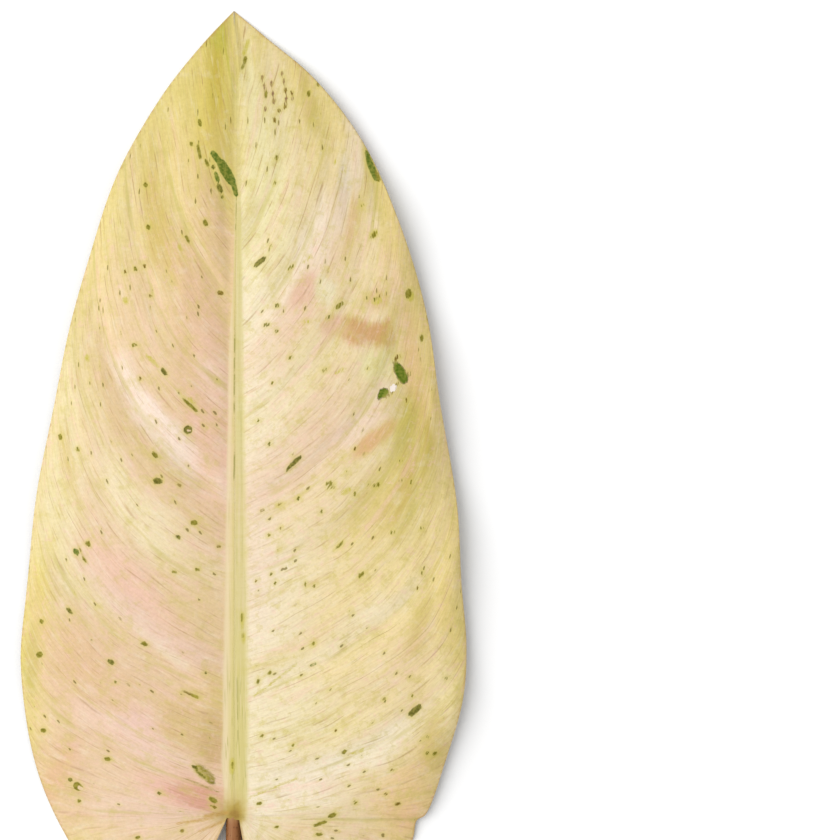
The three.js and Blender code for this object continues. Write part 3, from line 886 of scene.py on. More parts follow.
SMEARS = flecks_by_ink({
    Ink.OLIVE: (
        (-6.4, 9.6, 4.4, 1.7, -41),
    ),
    Ink.MOSS: (
        (-8.1, 8.1, 9.6, 0.45, -22), (-7.3, 10.7, 7, 2.6, -41),
    ),
    Ink.LIME: (
        (8.9, 7.5, 13, 0.6, 22), (-19.6, 107.6, 5, 1.1, -42), (-13.1, 134.2, 2.4, 0.9),
        (16.8, 131.4, 3.4, 1, 40), (2.4, 181, 4.6, 1.2, 70), (23.3, 154.2, 1.8, 0.9),
        (25.2, 152, 1.6, 0.7, 0), (9.2, 32.6, 13, 0.6, 37), (1.6, 46.6, 4.4, 0.9, 89),
        (1.9, 42.4, 3, 0.8, 86), (-0.8, 12.6, 4.4, 1.2, 88), (24.5, 105.2, 3.4, 1, 28),
        (-25.9, 121.6, 2.4, 1.4), (-34.8, 108.2, 2.2, 1.2), (26, 77, 3.4, 1.4, 30),
        (28.6, 16, 4.4, 0.9, 20), (41, 122.6, 3, 2, 75), (33.2, 121.7, 3.4, 1.8, 10),
        (32.6, 137.4, 2.8, 1.8, 60), (-10.2, 98.2, 2.6, 1.1, -35),
    ),
    Ink.TAN: (
        (-4.6, 1.2, 6.4, 1.3, 9), (-9.6, -0.3, 9.5, 0.7, 9), (-5.6, -1.5, 6.8, 0.7, 22),
    ),
})

TEAR = flecks_by_ink({
    Ink.SAGE: (
        (38.7, 104.6, 5.8, 2.4, -63), (37.4, 107.1, 2.6, 0.8, -70), (40.5, 104.5, 1.8, 0.5, 5),
        (34.7, 100.1, 3, 2.2, 28), (33.8, 99.2, 2, 1.2, 40),
    ),
})

PALE_SPOTS = flecks_by_ink({
    Ink.SKIN: (
        (-11, 91.2, 1.2, 0.9, 60), (-36.4, 7.4, 1.7, 0.9, -35),
    ),
    Ink.WHITE: (
        (36.9, 101.2, 2.5, 1.6, 60),
    ),
})


@dataclass(frozen=True)
class Sight:
    """The place in the plan, in millimetres, that the leaf is seen from, looking straight down."""

    x: float = 43.2
    y: float = 93.7
    height: float = 547.0


@dataclass
class Painter:
    """Works out the colours and marks at each point of the blade's upper skin.

    Washes and flecks are placed as seen from the place of sight, so a high part of the blade seems
    a little further from its foot than it is.
    """

    plan: LeafPlan
    sheet: BladeSheet
    sight: Sight = Sight()
    far: float = 30.0
    inner_share: tuple[float, float] = (0.03, 0.35)
    margin_share: tuple[float, float] = (0.66, 0.95)
    broad_wave: tuple[float, float] = (11, 5)
    fine_wave: tuple[float, float] = (4.5, 1.3)
    half_shift: float = 97
    blend_least: float = 0.2
    blend_reach: float = 2.4
    blend_y: tuple[float, float] = (120, 160)

    def __post_init__(self) -> None:
        """Finds the seen place of each point and the direction of its side vein."""
        s = self.sheet
        nearer = self.sight.height / (self.sight.height - s.z)
        self.x = self.sight.x + (s.x - self.sight.x) * nearer
        self.y = self.sight.y + (s.y - self.sight.y) * nearer
        dx, dy = np.gradient(s.x, axis=1), np.gradient(s.y, axis=1)
        self.vein_turn = np.arctan2(dy * s.side, dx * s.side)

    def _nearest(self, x: float, y: float) -> tuple[int, int]:
        """Row and column of the grid point that is seen next to a place."""
        distance = (self.x - x) ** 2 + (self.y - y) ** 2
        return np.unravel_index(np.argmin(distance), distance.shape)

    def ground(self) -> Array:
        """First colours of both halves, running from the midrib to the margin."""
        s = self.sheet
        total = np.where(s.side < 0, s.along[:, :1], s.along[:, -1:])
        share = np.clip(s.along / np.maximum(total, 1e-6), 0, 1)
        colour = np.zeros((*s.x.shape, 3))
        for side, ground in GROUNDS.items():
            inner, middle, margin = map(to_paint, (ground.inner, ground.middle, ground.margin))
            tone = lerp(inner, middle, smoothstep(share, *self.inner_share)[..., None])
            tone = lerp(tone, margin, smoothstep(share, *self.margin_share)[..., None])
            colour = np.where((s.side == side.value)[..., None], tone, colour)
        return colour

    def tint(self) -> Array:
        """Colour of every point, without the flecks and the fine veins."""
        s = self.sheet
        colour = self.ground()
        shift = self.half_shift * (s.side + 1)
        broad_x, broad_y = s.along / self.broad_wave[0], s.order / self.broad_wave[1] + shift
        fine_x, fine_y = s.along / self.fine_wave[0], s.order / self.fine_wave[1] + shift
        for number, wash in enumerate(WASHES):
            row, column = self._nearest(wash.x, wash.y)
            near = 2 * value_noise(broad_x, broad_y, 20 + number)
            fine = value_noise(fine_x, fine_y, 60 + number)
            ahead, aside = s.along - s.along[row, column], s.order - s.order[row, column]
            if wash.turn is not None:
                turn = math.radians(wash.turn)
                dx, dy = self.x - wash.x, self.y - wash.y
                ahead = dx * math.cos(turn) + dy * math.sin(turn)
                aside = dy * math.cos(turn) - dx * math.sin(turn)
            u = ahead / wash.along + 0.16 * near
            v = aside / wash.across + 0.12 * near + 0.22 * fine
            reach = np.sqrt(u * u + v * v)
            weight = wash.strength / (1 + reach ** (2 * wash.edge))
            weight = np.where(s.side == s.side[row, column], weight, 0)
            colour = lerp(colour, to_paint(wash.colour), weight[..., None])
        return self._blended(colour)

    def _blended(self, colour: Array) -> Array:
        """The colours with the two halves blended over the midrib, more so towards the tip."""
        s = self.sheet
        from_middle = s.x - self.plan.midrib_drift(s.y)
        reach = lerp(self.blend_least, self.blend_reach, smoothstep(s.y, *self.blend_y))
        rows = np.arange(len(colour))
        left = colour[rows, np.argmin(np.abs(from_middle + reach), axis=1)][:, None]
        right = colour[rows, np.argmin(np.abs(from_middle - reach), axis=1)][:, None]
        blend = lerp(left, right, smoothstep(from_middle / reach, -1, 1)[..., None])
        return np.where((np.abs(from_middle) < reach)[..., None], blend, colour)

    def marks(self, flecks: Sequence[Fleck]) -> tuple[Array, Array]:
        """Distance to the nearest fleck, less than 0 inside it, and that fleck's colour.

        Args:
            flecks: The flecks to draw.

        Returns:
            The distances in millimetres, and the colours.
        """
        s = self.sheet
        edge = np.full(s.x.shape, self.far)
        ink = np.zeros((*s.x.shape, 3))
        for fleck in flecks:
            row, column = self._nearest(fleck.x, fleck.y)
            turn = self.vein_turn[row, column] if fleck.turn is None else math.radians(fleck.turn)
            dx, dy = self.x - fleck.x, self.y - fleck.y
            long, short = fleck.length / 2, fleck.width / 2
            u = dx * math.cos(turn) + dy * math.sin(turn)
            v = dy * math.cos(turn) - dx * math.sin(turn)
            beyond = np.maximum(np.abs(u) - (long - short), 0)
            taper = short * (0.72 + 0.28 * np.cos(np.clip(u / long, -1, 1) * math.pi / 2))
            distance = np.hypot(beyond, v) - taper
            closer = distance < edge
            edge = np.where(closer, distance, edge)
            ink[closer] = to_paint(fleck.ink.value)
        return edge, ink

    def head_distance(self) -> Array:
        """Distance of each point to the head of the stalk."""
        head_x = float(self.plan.midrib_drift(0))
        return np.hypot(self.sheet.x - head_x, self.sheet.y - self.plan.head_at)

    def valley_distance(self, blade: Blade, relief: LeafRelief) -> Array:
        """Distance across the side veins to the nearest main one."""
        s = self.sheet
        distance = np.full(s.x.shape, self.far)
        roots = self.plan.root_along(blade.shares())
        for side in Side:
            order = blade.vein_order(side)
            for root, _ in relief.valleys(side):
                here = np.abs(s.order - np.interp(root, roots, order))
                distance = np.where(s.side == side.value, np.minimum(distance, here), distance)
        return distance

    def freckles(self) -> Array:
        """How thickly the blade is strewn with tiny specks, from 0 to 1."""
        s = self.sheet
        drift = value_noise(s.along / 14 + 7, s.order / 12 + 50 * s.side, 5)
        base = 0.45 + 0.5 * drift
        rich = np.exp(-(((s.x - 30) / 18) ** 2) - ((s.y - 78) / 22) ** 2)
        upper = np.exp(-(((s.x - 12) / 14) ** 2) - ((s.y - 165) / 14) ** 2)
        return np.clip(base + 0.5 * rich + 0.4 * upper, 0, 1)


def store(mesh: bpy.types.Mesh, name: str, kind: str, first: Array, rest: float) -> None:
    """Stores values on a mesh's vertices for its material to read.

    Args:
        mesh: The mesh.
        name: Name of the attribute.
        kind: FLOAT, FLOAT_VECTOR or FLOAT_COLOR.
        first: Values of the first vertices, one row each.
        rest: The value that every number of the other vertices has.
    """
    width = {"FLOAT": 1, "FLOAT_VECTOR": 3, "FLOAT_COLOR": 4}[kind]
    key = {"FLOAT": "value", "FLOAT_VECTOR": "vector", "FLOAT_COLOR": "color"}[kind]
    values = np.full((len(mesh.vertices), width), rest, np.float32)
    rows = first.reshape(-1, 3 if width > 1 else 1)
    values[: len(rows), : rows.shape[1]] = rows
    mesh.attributes.new(name, kind, "POINT").data.foreach_set(key, values.ravel())


# Materials


class Value:
    """A socket's value, on which Python's operators add Math nodes."""

    def __init__(self, graph: "Graph", socket: bpy.types.NodeSocket) -> None:
        """Wraps one output socket of a graph."""
        self.graph = graph
        self.socket = socket

    def _math(self, operation: str, a: "Value | float", b: "Value | float") -> "Value":
        """One Math node on two values."""
        node = self.graph.node("ShaderNodeMath", {"operation": operation}, {0: a, 1: b})
        return Value(self.graph, node.outputs[0])

    def __add__(self, other: "Value | float") -> "Value":
        """Sum."""
        return self._math("ADD", self, other)

    def __sub__(self, other: "Value | float") -> "Value":
        """Difference."""
        return self._math("SUBTRACT", self, other)

    def __rsub__(self, other: "Value | float") -> "Value":
        """Difference from a number."""
        return self._math("SUBTRACT", other, self)

    def __mul__(self, other: "Value | float") -> "Value":
        """Product."""
        return self._math("MULTIPLY", self, other)

    def __truediv__(self, other: "Value | float") -> "Value":
        """Quotient."""
        return self._math("DIVIDE", self, other)

    def __pow__(self, other: "Value | float") -> "Value":
        """Power."""
        return self._math("POWER", self, other)

    def __abs__(self) -> "Value":
        """Size without its sign."""
        return self._math("ABSOLUTE", self, 0.0)

    __radd__ = __add__
    __rmul__ = __mul__

    def fraction(self) -> "Value":
        """What is left over a whole number."""
        return self._math("FRACT", self, 0.0)

    def rise(self, low: float, high: float) -> "Value":
        """Smooth share from 0 at low to 1 at high; low may be the larger."""
        node = self.graph.node(
            "ShaderNodeMapRange",
            {"interpolation_type": "SMOOTHSTEP"},
            {"Value": self, "From Min": low, "From Max": high},
        )
        return Value(self.graph, node.outputs[0])


class Graph:
    """The node tree of one material, built from Python expressions."""

    def __init__(self, name: str) -> None:
        """Starts a material with only its output and a Principled shader."""
        self.material = bpy.data.materials.new(name)
        self.material.use_nodes = True
        self.tree = self.material.node_tree
        self.tree.nodes.clear()
        self.output = self.node("ShaderNodeOutputMaterial")
        self.shader = self.node("ShaderNodeBsdfPrincipled")
        self.tree.links.new(self.shader.outputs[0], self.output.inputs[0])

    def node(
        self,
        kind: str,
        settings: Mapping[str, Any] | None = None,
        inputs: Mapping[int | str, Any] | None = None,
    ) -> bpy.types.Node:
        """Adds a node.

        Args:
            kind: The node's type.
            settings: Its own settings, and a ramp's stops as pairs of place and colour.
            inputs: Values or links of its sockets, by name or number.

        Returns:
            The node.
        """
        node = self.tree.nodes.new(kind)
        for key, value in (settings or {}).items():
            if key == "stops":
                self._set_stops(node.color_ramp, value)
            else:
                setattr(node, key, value)
        for key, value in (inputs or {}).items():
            self.put(node, key, value)
        return node

    def put(self, node: bpy.types.Node, key: int | str, value: Any) -> None:
        """Sets or links one socket of a node."""
        socket = node.inputs[key]
        if isinstance(value, Value):
            self.tree.links.new(value.socket, socket)
        elif socket.type == "RGBA":
            socket.default_value = (*to_paint(value), 1.0)
        else:
            socket.default_value = value

    @staticmethod
    def _set_stops(ramp: bpy.types.ColorRamp, stops: Sequence[tuple[float, Colour]]) -> None:
        """Gives a ramp its stops."""
        for place, colour in stops[1:-1]:
            ramp.elements.new(place).color = (*to_paint(colour), 1.0)
        for element, (place, colour) in zip((ramp.elements[0], ramp.elements[-1]), (stops[0], stops[-1])):
            element.position = place
            element.color = (*to_paint(colour), 1.0)

    def attribute(self, name: str, output: str = "Fac") -> Value:
        """An attribute of the piece."""
        return Value(self, self.node("ShaderNodeAttribute", {"attribute_name": name}).outputs[output])

    def split(self, vector: Value) -> tuple[Value, Value, Value]:
        """The three parts of a vector."""
        outputs = self.node("ShaderNodeSeparateXYZ", inputs={0: vector}).outputs
        return tuple(Value(self, outputs[k]) for k in range(3))

    def vector(self, x: Value | float, y: Value | float, z: Value | float = 0.0) -> Value:
        """A vector of three values."""
        node = self.node("ShaderNodeCombineXYZ", inputs={0: x, 1: y, 2: z})
        return Value(self, node.outputs[0])

    def place(self) -> tuple[Value, Value, Value]:
        """Object coordinates in millimetres."""
        point = self.node("ShaderNodeTexCoord").outputs["Object"]
        scaled = self.node(
            "ShaderNodeVectorMath", {"operation": "SCALE"}, {0: Value(self, point), "Scale": 1 / MM}
        )
        return self.split(Value(self, scaled.outputs[0]))

    def noise(self, vector: Value, detail: float = 2.0, rough: float = 0.5) -> Value:
        """Smooth noise around 0.5."""
        inputs = {"Vector": vector, "Scale": 1.0, "Detail": detail, "Roughness": rough}
        return Value(self, self.node("ShaderNodeTexNoise", inputs=inputs).outputs[0])

    def cells(self, vector: Value) -> tuple[Value, Value]:
        """Distance to the nearest scattered point, and that point's random value."""
        node = self.node("ShaderNodeTexVoronoi", inputs={"Vector": vector, "Scale": 1.0})
        chance = self.node("ShaderNodeSeparateColor", inputs={0: Value(self, node.outputs["Color"])})
        return Value(self, node.outputs["Distance"]), Value(self, chance.outputs[0])

    def mix(self, a: Value | Colour, b: Value | Colour, share: Value | float, blend: str = "MIX") -> Value:
        """A colour between two, or a blend of them."""
        node = self.node(
            "ShaderNodeMix", {"data_type": "RGBA", "blend_type": blend, "clamp_factor": True}
        )
        self.put(node, 0, share)
        self.put(node, 6, a)
        self.put(node, 7, b)
        return Value(self, node.outputs[2])

    def grey(self, value: Value) -> Value:
        """A grey of a given lightness."""
        node = self.node("ShaderNodeCombineColor", inputs={0: value, 1: value, 2: value})
        return Value(self, node.outputs[0])

    def tones(self, share: Value, *stops: tuple[float, Colour]) -> Value:
        """A colour from a ramp."""
        return Value(self, self.node("ShaderNodeValToRGB", {"stops": stops}, {0: share}).outputs[0])

    def bump(self, height: Value) -> Value:
        """A normal from a height in millimetres."""
        node = self.node("ShaderNodeBump", inputs={"Height": height, "Distance": MM, "Strength": 1.0})
        return Value(self, node.outputs[0])

    def finish(
        self, colour: Value | Colour, roughness: Value | float, **constants: float
    ) -> bpy.types.Material:
        """Links the colour and the roughness, sets the shader's constants and gives the material."""
        self.put(self.shader, "Base Color", colour)
        self.put(self.shader, "Roughness", roughness)
        for key, value in constants.items():
            self.shader.inputs[key.replace("_", " ")].default_value = value
        return self.material


@dataclass(frozen=True)
class UpperSkin:
    """The blade's satin upper side, with its veins, specks and flecks.

    Attributes:
        shift: Move from the plan to the frame, in millimetres.
        vein_gap: Distance between the fine side veins.
        thread_spans: Where the midrib's green thread shows: its upper and lower end, and how much.
    """

    shift: tuple[float, float] = (0.0, 0.0)
    vein_gap: float = 1.95
    vein_colour: Colour = (170, 128, 80)
    golden_colour: Colour = (200, 160, 84)
    valley_colour: Colour = (202, 190, 100)
    dusk_colour: Colour = (214, 190, 124)
    head_colour: Colour = (188, 160, 76)
    root_colour: Colour = (158, 116, 58)
    rim_colour: Colour = (198, 158, 100)
    speck_colour: Colour = (112, 96, 20)
    halo_colour: Colour = (214, 200, 98)
    flush_colour: Colour = (248, 204, 186)
    lush_colour: Colour = (212, 196, 108)
    tan_colour: Colour = (212, 174, 116)
    white_colour: Colour = (250, 238, 214)
    torn_colour: Colour = (88, 74, 24)
    rib_cream_and_highlight: Colour = (238, 219, 176)
    rib_middle: Colour = (222, 208, 136)
    rib_right: Colour = (226, 213, 140)
    rib_green: Colour = (166, 166, 66)
    rib_thread: Colour = (134, 134, 46)
    thread_spans: Sequence[Numbers] = (
        (148.5, 135.0, 1.0), (114.5, 95.5, 1.0), (86.0, 80.0, 1.0), (34.0, 19.0, 0.6),
    )
    roughness: float = 0.55

    def material(self) -> bpy.types.Material:
        """Builds the material."""
        g = Graph("blade_upper_skin")
        along, order, to_margin = g.split(g.attribute("veins", "Vector"))
        to_head = g.attribute("to_head")
        x, y, _ = g.place()
        x, y = x - self.shift[0], y - self.shift[1]
        skin, relief = self._lamina(g, along, order, to_head, x, y)
        skin = self._midrib(g, skin, x, y)
        blotch = g.noise(g.vector(x * 0.7, y * 0.7, 6.0), detail=2.0) * 2.4
        near = to_head + blotch + x.rise(0.5, 3.5) * 1.6
        skin = g.mix(skin, self.dusk_colour, near.rise(8.5, 4.0) * 0.6)
        skin = g.mix(skin, self.head_colour, near.rise(5.6, 2.8) * 0.8)
        skin = g.mix(skin, self.root_colour, near.rise(3.2, 1.6) * 0.6)
        skin = self._specks(g, skin, along, order)
        skin = self._marks(g, skin, along, order, x, y)
        edge = to_margin + (g.noise(g.vector(along * 0.2, order * 0.3, 8.0)) - 0.5) * 0.8
        skin = g.mix(skin, self.rim_colour, edge.rise(0.7, 0.05) * 0.6)
        g.put(g.shader, "Normal", g.bump(relief))
        return g.finish(skin, self.roughness, IOR=1.42, Specular_IOR_Level=0.12)

    def _lamina(
        self, g: Graph, along: Value, order: Value, to_head: Value, x: Value, y: Value
    ) -> tuple[Value, Value]:
        """Colour of the blade between the veins and with them, and its fine relief in millimetres."""
        off_rib = abs(g.attribute("across")).rise(0.9, 1.3)
        lane = order + (g.noise(g.vector(x * 0.05, y * 0.05, 2.0), detail=1.0) - 0.5) * 3.0
        broad = g.noise(g.vector(along * 0.03, lane * 0.3), detail=5.0, rough=0.66)
        streak = g.noise(g.vector(along * 0.13, lane * 0.9, 3.0), detail=4.0, rough=0.62)
        fibre = g.noise(g.vector(along * 0.3, lane * 2.6), detail=3.0, rough=0.62)
        cloud = g.noise(g.vector(x * 0.22, y * 0.22), detail=5.0, rough=0.64)
        grain = g.noise(g.vector(x * 1.4, y * 1.4, 4.0), detail=3.0, rough=0.65)
        skin = g.attribute("tint", "Color")
        skin = g.mix(skin, self.flush_colour, broad.rise(0.52, 0.7) * 0.4)
        skin = g.mix(skin, self.lush_colour, broad.rise(0.48, 0.32) * 0.46)
        skin = g.mix(skin, self.tan_colour, streak.rise(0.52, 0.74) * 0.38)
        skin = g.mix(skin, self.white_colour, streak.rise(0.48, 0.28) * 0.26)
        skin = g.mix(skin, self.lush_colour, cloud.rise(0.52, 0.68) * 0.36)
        skin = g.mix(skin, self.white_colour, cloud.rise(0.46, 0.3) * 0.2)
        patch = g.noise(g.vector(x * 0.4, y * 0.4, 9.0), detail=5.0, rough=0.7)
        skin = g.mix(skin, self.lush_colour, patch.rise(0.54, 0.61) * (0.16 + x.rise(-3.0, 3.0) * 0.14))
        skin = g.mix(skin, self.flush_colour, patch.rise(0.44, 0.37) * y.rise(160.0, 135.0) * 0.3)
        shade = 1.0 + (fibre - 0.5) * 0.24 + (grain - 0.5) * 0.26
        skin = g.mix(skin, g.grey(shade), 1.0, "MULTIPLY")
        veins, faint = self._veins(g, along, lane)
        ripe = 0.4 + y.rise(110.0, 150.0) * 0.2
        skin = g.mix(skin, self.vein_colour, veins * ripe * off_rib)
        skin = g.mix(skin, self.vein_colour, faint * 0.26 * off_rib)
        wander = (g.noise(g.vector(along * 0.1, order * 0.2, 5.0), detail=2.0) - 0.5) * 1.6
        green = abs(g.attribute("to_valley") + wander).rise(0.8, 0.1)
        broken = g.noise(g.vector(along * 0.07, order * 0.4, 1.0), detail=2.0).rise(0.42, 0.62)
        skin = g.mix(skin, self.valley_colour, green * broken * 0.45 * off_rib * to_head.rise(3.0, 8.0))
        gilded = (veins + faint * 0.6) * to_head.rise(20.0, 3.0) * x.rise(2.0, -2.0)
        skin = g.mix(skin, self.golden_colour, gilded * 0.7 * off_rib)
        relief = fibre * 0.05 + streak * 0.08 + grain * 0.02
        return skin, relief - (veins * 0.03 + faint * 0.014) * off_rib

    def _veins(self, g: Graph, along: Value, lane: Value) -> tuple[Value, Value]:
        """Masks of the fine side veins and of the fainter ones between them."""
        drift = g.noise(g.vector(along * 0.03, lane * 0.4), detail=2.0, rough=0.5) - 0.5
        line = (lane + drift * 2.4) / self.vein_gap
        centre = abs(line.fraction() - 0.5)
        between = abs((line * 2.3 + 0.5).fraction() - 0.5)
        fade = g.noise(g.vector(along * 0.13, lane * 0.5, 3.0), detail=3.0).rise(0.47, 0.68)
        weak = g.noise(g.vector(along * 0.22, lane * 0.9, 9.0), detail=3.0).rise(0.48, 0.7)
        return centre.rise(0.1, 0.0) * fade, between.rise(0.17, 0.0) * weak

    def _midrib(self, g: Graph, skin: Value, x: Value, y: Value) -> Value:
        """Adds the midrib's soft band: cream on its left, partly a painted highlight on its left slope
        that faces the light, yellow-green with fine green lines.
        """
        across = g.attribute("across")
        sway = (g.noise(g.vector(y * 0.1, 3.0), detail=3.0, rough=0.6) - 0.5) * 0.5
        spread = across + sway
        low = y.rise(70.0, 20.0)
        start = y.rise(110.0, 128.0) * 0.55 - 1.2
        weight = spread.rise(start, start + 0.3) * spread.rise(1.7 - low * 0.35, 0.75)
        weight = weight * y.rise(153.0, 138.0)
        # The ramp's left stops are pale cream, partly a painted highlight on the band's left slope, which
        # faces the light; the same cream also makes pale threads.
        band = g.tones(
            across * 0.4 + 0.5,
            (0.1, self.rib_cream_and_highlight), (0.2, self.rib_cream_and_highlight), (0.4, self.rib_middle),
            (0.76, self.rib_middle), (0.95, self.rib_right),
        )
        thread = g.noise(g.vector(x * 1.7, y * 0.05), detail=3.0, rough=0.62)
        dash = g.noise(g.vector(x * 3.2, y * 0.14, 5.0), detail=2.0)
        band = g.mix(band, self.rib_cream_and_highlight, thread.rise(0.5, 0.3) * 0.5)
        band = g.mix(band, self.rib_green, thread.rise(0.52, 0.72) * 0.4)
        band = g.mix(band, self.rib_green, dash.rise(0.6, 0.7) * low * 0.6)
        skin = g.mix(skin, band, weight * (0.72 + low * 0.2))
        shift = (g.noise(g.vector(y * 0.09, 1.0), detail=2.0) - 0.5) * 1.1
        middle = abs((across + 0.18 - low * 0.42) * (1.0 + low * 0.6) + shift * 0.3)
        reach = sum(self._between(y, high, low) * share for high, low, share in self.thread_spans)
        broken = g.noise(g.vector(x * 0.8, y * 0.4, 7.0), detail=3.0).rise(0.36, 0.5)
        return g.mix(skin, self.rib_thread, middle.rise(0.18, 0.0) * reach * broken * 0.62)

    @staticmethod
    def _between(y: Value, high: float, low: float) -> Value:
        """Share that is 1 between two heights of the plan and fades just beyond them."""
        return y.rise(high + 1.0, high - 1.0) * y.rise(low - 1.0, low + 1.0)

    def _specks(self, g: Graph, skin: Value, along: Value, order: Value) -> Value:
        """Adds tiny scattered specks, each in a yellow-green halo."""
        density = g.attribute("freckle")
        distance, chance = g.cells(g.vector(along / 3.6, order / 1.9))
        chosen = (chance + density * 0.42).rise(0.84, 0.94) * along.rise(0.1, 0.5)
        ragged = (g.noise(g.vector(along * 1.4, order * 2.6), detail=2.0) - 0.5) * 0.22
        core = (distance + ragged).rise(0.16, 0.1)
        halo = (distance + ragged).rise(0.45, 0.12)
        skin = g.mix(skin, self.halo_colour, halo * chosen * 0.3)
        return g.mix(skin, self.speck_colour, core * chosen * 0.7)

    def _marks(
        self, g: Graph, skin: Value, along: Value, order: Value, x: Value, y: Value
    ) -> Value:
        """Adds the smears, the tear, the flecks and the pale spots."""
        off_rib = abs(g.attribute("across")).rise(0.9, 1.3)
        ragged = (g.noise(g.vector(along * 0.9, order * 2.2), detail=3.0, rough=0.65) - 0.5) * off_rib
        uneven = g.noise(g.vector(x * 1.4, y * 1.4), detail=2.0, rough=0.6) - 0.5
        mottle = g.noise(g.vector(x * 1.3, y * 1.3, 4.0), detail=3.0).rise(0.36, 0.66)
        smear = g.attribute("smear_edge") + ragged * 1.4
        smear_ink = g.attribute("smear_ink", "Color")
        skin = g.mix(skin, smear_ink, smear.rise(0.3, -0.5) * (0.95 - mottle * 0.35))
        tear = g.attribute("tear_edge") + uneven * 0.5
        skin = g.mix(skin, self.torn_colour, tear.rise(0.2, 0.06) * 0.6)
        tear_ink = g.attribute("tear_ink", "Color")
        skin = g.mix(skin, g.mix(tear_ink, self.halo_colour, mottle * 0.2), tear.rise(-0.02, -0.2))
        fleck = g.attribute("fleck_edge") + ragged * 0.4 + uneven * 0.3
        skin = g.mix(skin, self.halo_colour, fleck.rise(1.2, -0.1) * 0.42)
        ink = g.mix(g.attribute("fleck_ink", "Color"), self.halo_colour, mottle * 0.3)
        skin = g.mix(skin, ink, fleck.rise(0.24, -0.08) * 0.94)
        pale = g.attribute("pale_edge") + uneven * 0.3
        return g.mix(skin, g.attribute("pale_ink", "Color"), pale.rise(0.1, -0.1))


@dataclass(frozen=True)
class LowerSkin:
    """The blade's underside, paler, matt and netted with small veins."""

    pale: Colour = (226, 214, 170)
    flush: Colour = (222, 194, 160)
    green: Colour = (206, 200, 132)
    net_colour: Colour = (190, 176, 112)
    speckle_colour: Colour = (150, 148, 70)
    roughness: float = 0.62

    def material(self) -> bpy.types.Material:
        """Builds the material."""
        g = Graph("blade_lower_skin")
        x, y, _ = g.place()
        cloud = g.noise(g.vector(x * 0.05, y * 0.03), detail=3.0)
        skin = g.mix(self.pale, self.flush, cloud.rise(0.46, 0.66))
        skin = g.mix(skin, self.green, cloud.rise(0.46, 0.3) * 0.8)
        distance, _ = g.cells(g.vector(x * 0.9, y * 0.9))
        net = distance.rise(0.4, 0.75)
        skin = g.mix(skin, self.net_colour, net * 0.35)
        speckle = g.noise(g.vector(x * 0.8, y * 0.8, 2.0), detail=4.0).rise(0.66, 0.72)
        skin = g.mix(skin, self.speckle_colour, speckle * 0.4)
        micro = g.noise(g.vector(x * 3.0, y * 3.0), detail=2.0)
        g.put(g.shader, "Normal", g.bump(net * 0.06 + micro * 0.02))
        return g.finish(skin, self.roughness + (micro - 0.5) * 0.1, IOR=1.4, Specular_IOR_Level=0.3)


@dataclass(frozen=True)
class VeinSkin:
    """The raised side veins of the underside: smooth, pale and slightly shiny."""

    colour: Colour = (226, 216, 160)
    flush: Colour = (206, 190, 120)
    roughness: float = 0.5

    def material(self) -> bpy.types.Material:
        """Builds the material."""
        g = Graph("side_vein_skin")
        x, y, _ = g.place()
        drift = g.noise(g.vector(x * 0.3, y * 0.3), detail=3.0)
        fine = g.noise(g.vector(x * 2.0, y * 2.0), detail=2.0)
        g.put(g.shader, "Normal", g.bump(fine * 0.02))
        return g.finish(g.mix(self.colour, self.flush, drift.rise(0.4, 0.65)), self.roughness)


@dataclass(frozen=True)
class StalkSkin:
    """The stalk's satin skin: reddish brown, streaked and dotted darker, tan where it meets the blade."""

    brown: Colour = (164, 110, 68)
    deep: Colour = (124, 76, 42)
    tan: Colour = (186, 146, 90)
    green: Colour = (140, 122, 58)
    dot_colour: Colour = (104, 62, 34)
    roughness: float = 0.44

    def material(self) -> bpy.types.Material:
        """Builds the material."""
        g = Graph("stalk_skin")
        x, y, z = g.place()
        way = g.attribute("way")
        streak = g.noise(g.vector(x * 1.5, y * 0.07, z * 1.5), detail=4.0, rough=0.6)
        cloud = g.noise(g.vector(x * 0.3, y * 0.06, z * 0.3), detail=2.0)
        skin = g.mix(self.brown, self.deep, streak.rise(0.48, 0.68) * 0.6)
        skin = g.mix(skin, self.tan, streak.rise(0.46, 0.3) * 0.5)
        skin = g.mix(skin, self.green, cloud.rise(0.5, 0.62) * way.rise(14.0, 50.0) * 0.6)
        skin = g.mix(skin, self.tan, way.rise(1.2, -2.5) * 0.9)
        distance, chance = g.cells(g.vector(x * 1.5, y * 0.9, z * 1.5))
        dots = distance.rise(0.26, 0.16) * chance.rise(0.35, 0.45)
        skin = g.mix(skin, self.dot_colour, dots * 0.6)
        fine = g.noise(g.vector(x * 5.0, y * 1.2, z * 5.0), detail=2.0)
        g.put(g.shader, "Normal", g.bump(streak * 0.09 + fine * 0.02 - dots * 0.02))
        return g.finish(skin, self.roughness + (streak - 0.5) * 0.2, IOR=1.42, Specular_IOR_Level=0.4)


